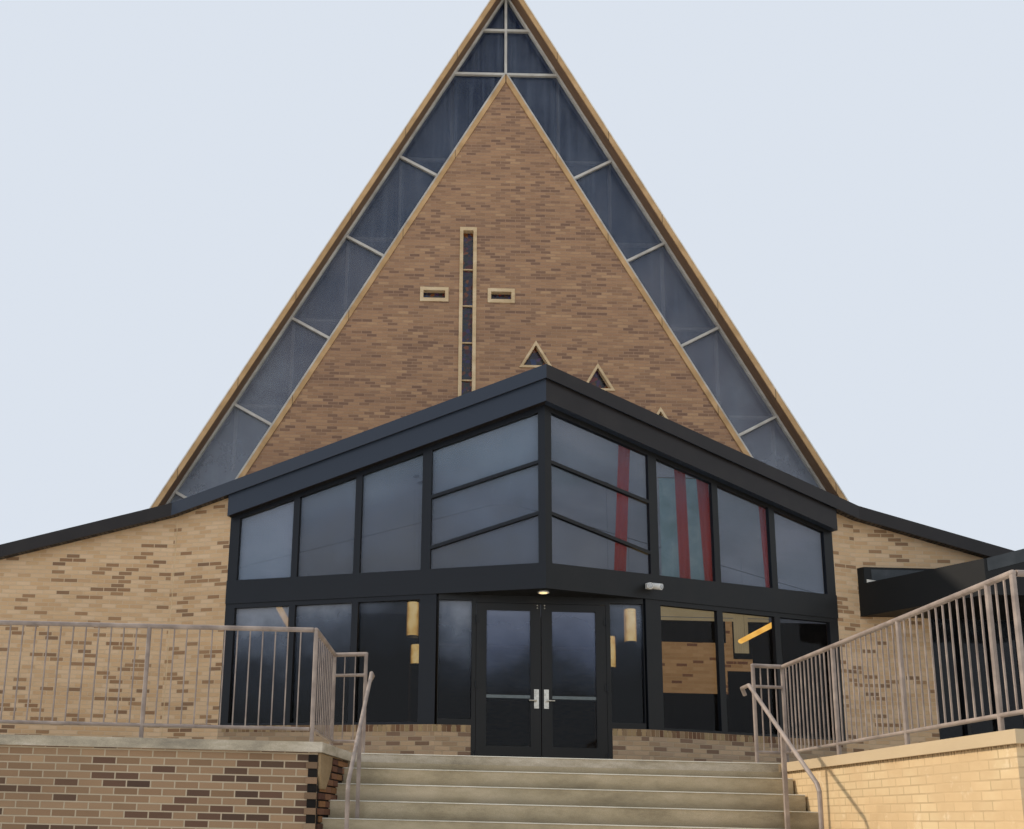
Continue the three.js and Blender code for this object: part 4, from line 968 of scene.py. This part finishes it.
def single_bricks(name, shape, tones):
    """Each block of eight points takes one tone from the list, and its own strength from 0.85 to 1.1."""
    piece = make_piece(name, shape, laid_brick, bevel=0.003)
    count = len(shape[0]) // 8
    fired = np.array([linear(tone) for tone in tones])[rng.integers(len(tones), size=count)]
    fired[:, :3] *= rng.uniform(0.85, 1.1, (count, 1))
    colour_points(piece, "fired", np.repeat(fired, 8, axis=0))


# %% Bricks of the acute corner
# The pockets are lined with near-black mortar: painted shade for their depth. The mortar floated
# over the top is a soft tan smear.
painted_shade_mortar = floated_concrete("lime mortar, near black painted shade", ["#14110F", "#1B1714", "#241F1A"])
tan_mortar = floated_concrete("lime mortar, floated by hand", ["#7C684C", "#8E7859", "#9E8867"])
course_count = int((RISER * RISERS - 0.1) / COURSE)
heights = -RISER * RISERS + COURSE * (np.arange(course_count) + 0.5)
front = xyz(LEFT_CORNER_X - 0.052, TERRACE_FRONT - 0.004, heights)
single_bricks("corner_front_bricks", blocks(front[::2], [0.052, 0.010, 0.029]),
              ["#8A7058", "#7C654F", "#9A8268"])
slant = math.hypot(1, SKEW)
side_axes = np.array([[SKEW, 1.0, 0.0], [-1.0, SKEW, 0.0], [0.0, 0.0, slant]]) / slant


def on_return(along, out, height):
    """A point of the skewed wall: the corner plus along times its direction plus out times its normal."""
    corner = np.array([LEFT_CORNER_X, TERRACE_FRONT, 0.0])
    return corner + along * side_axes[0] - out * side_axes[1] + height * side_axes[2]


bricks, sizes = [], []
for number, z in enumerate(heights):
    stairs = STAIR_TOP_Y - TREAD * np.floor(-z / RISER)
    reach = min(1.20, (stairs - TERRACE_FRONT) * slant)
    first = 0.03 if z < -0.40 else 0.06 + 0.42 * min(1.0, (z + 0.40) / 0.22 + 0.35)
    for start in np.arange(first + 0.05 * (number % 2), reach, 0.215):
        end = min(start + 0.205, reach)
        if end - start > 0.04:
            bricks.append(on_return((start + end) / 2, 0.012 - 0.008 * (number % 2), z))
            sizes.append([(end - start) / 2, 0.012, 0.027])
single_bricks("corner_return_bricks", blocks(bricks, sizes, side_axes),
              ["#6B4A38", "#5A3C30", "#7E5A42", "#4C352B", "#86603F"])
lump = [[0.0, -0.092], [0.45, -0.092], [0.43, -0.20], [0.33, -0.32], [0.22, -0.41], [0.06, -0.41],
        [0.0, -0.28]]
lump_points = np.array([on_return(along, out, z) for out in (0.030, 0.0012) for along, z in lump])
make_piece("corner_mortar", (lump_points, capped(2, len(lump))), tan_mortar, bevel=0.008)
pockets = joined(blocks([LEFT_CORNER_X - 0.042, TERRACE_FRONT + 0.001, -1.04], [0.0415, 0.003, 0.93]),
                 blocks(on_return(0.61, 0.0006, -0.50), [0.60, 0.0012, 0.40], side_axes))
make_piece("corner_pockets", pockets, painted_shade_mortar)

# %% [markdown]
# ## The rowlock course
#
# The low walls under the glass end in a rowlock: bricks set on edge, side by side, so that each
# shows only its narrow end. They stand 4 mm proud of the wall, and their tones change more from
# brick to brick than in the courses below, because every end was nearest the fire.

# %% Rowlock on the knee walls
ROWLOCK_Z, BRICK_END = 0.615, [0.0285, 0.008, 0.048]
for side, name in ((-1, "left"), (1, "right")):
    angled = [along_prow(side, d, -0.004, ROWLOCK_Z) for d in np.arange(1.64, 4.92, COURSE)]
    straight = xyz(np.arange(1.03, 1.52, COURSE) * side, DOOR_Y + 0.004, ROWLOCK_Z)
    ends = joined(blocks(angled, BRICK_END, prow_axes(side)), blocks(straight, BRICK_END))
    single_bricks(f"rowlock_{name}", ends, ["#8D765B", "#7A6148", "#A08866", "#6E523E", "#94805F"])

# %% [markdown]
# ## Trim of the side canopy
#
# The canopy's small gable carries a grey raking fascia, and the strip of wall above the canopy is
# closed by a grey panel in a dark frame with a pale flashing at its foot. Each is a thin folded
# sheet, so it is a flat strip with a little thickness.

# %% Fascia and flashing of the canopy
GABLE_FOOT_X, CANOPY_END, CANOPY_TOP = 6.190, 8.500, 3.142
PANEL_Y = 1.477
half_gable = (CANOPY_END - GABLE_FOOT_X) / 2
station = np.array([0.0, 1.0, 2.0])
rake = CANOPY_TOP + LOW_SLOPE * half_gable * (1 - np.abs(station - 1))
upper = xyz(GABLE_FOOT_X + half_gable * station, 0.018, rake)
lower = upper - (0, 0, 0.185)
ring = np.stack([upper, upper - (0, 0.004, 0), lower - (0, 0.004, 0), lower], 1).reshape(-1, 3)
strip_faces = grid_faces(3, 4, wrap=True).tolist() + [[0, 1, 2, 3], [11, 10, 9, 8]]
make_piece("canopy_rake_fascia", (ring, strip_faces), grey_sheet)
panel = blocks([5.98, PANEL_Y, 3.262], [0.66, 0.003, 0.10])
make_piece("canopy_upstand_panel", panel, grey_sheet, bevel=0.001)
flashing = [(x, y, z) for y in (PANEL_Y - 0.006, PANEL_Y)
            for x, z in ((5.24, CANOPY_TOP), (5.66, CANOPY_TOP), (5.24, 3.20))]
wedge_faces = [[0, 1, 2], [5, 4, 3], [0, 3, 4, 1], [1, 4, 5, 2], [2, 5, 3, 0]]
make_piece("canopy_flashing", (flashing, wedge_faces), pale_trim)

# %% [markdown]
# ## Sealant joint
#
# Long brick walls need a soft joint where they can move. The left wing has one, a little way out
# from its inner corner: a 14 mm bead of tan sealant from the terrace to the fascia.

# %% Movement joint in the left wing
bead_path = np.linspace(along_prow(-1, 5.90, 0.001, 0.0), along_prow(-1, 5.90, 0.001, 3.98), 3)
bead = carried(oval(0.007, 0.003, 8), bead_path, up=prow_axes(-1)[1])
make_piece("movement_joint", bead, cast_stone)

# %% [markdown]
# ## Studio
#
# The part stands on matt pale paper under an even pale sky. One soft light comes from where the
# sun stood: far to the left, a little behind the front, 39 degrees up. The shadow of the handrail
# on the painted wall gave that direction. The glazed front itself lies in open shade.

# %% Floor and lights
FLOOR_HALF, FLOOR_Z = 150.0, -0.002
floor_mesh = bpy.data.meshes.new("studio_floor")
floor_mesh.from_pydata([(x * FLOOR_HALF, y * FLOOR_HALF, FLOOR_Z)
                        for x, y in ((-1, -1), (1, -1), (1, 1), (-1, 1))], [], [(0, 1, 2, 3)])
studio_floor = bpy.data.objects.new("studio_floor", floor_mesh)
bpy.context.scene.collection.objects.link(studio_floor)
floor_mesh.materials.append(mottled("matt studio paper", [(0.3, "#D9D6D0"), (0.7, "#DEDBD5")], 0.4, 0.95))
studio_floor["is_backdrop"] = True

world = bpy.data.worlds.new("studio sky")
world.use_nodes = True
world.node_tree.nodes["Background"].inputs["Color"].default_value = linear("#E0E8F3")
world.node_tree.nodes["Background"].inputs["Strength"].default_value = 0.95
bpy.context.scene.world = world
sun = bpy.data.objects.new("soft_key", bpy.data.lights.new("soft_key", "SUN"))
sun.data.energy, sun.data.angle = 3.0, math.radians(3)
sun.data.color = linear("#FFF1DF")[:3]
sun.rotation_euler = Vector((0.759, -0.175, -0.627)).to_track_quat("-Z", "Y").to_euler()
bpy.context.scene.collection.objects.link(sun)
bpy.context.scene.view_settings.view_transform = "Standard"

# %% Sizes of the frame and of the finished scene
final_low, final_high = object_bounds()
sizes = {"cad": [list(cad_low), list(cad_high)], "visual": [list(final_low), list(final_high)]}
print("growth mm", [round((a - b) * 1000, 1) for a, b in zip((*cad_low, *final_high), (*final_low, *cad_high))])
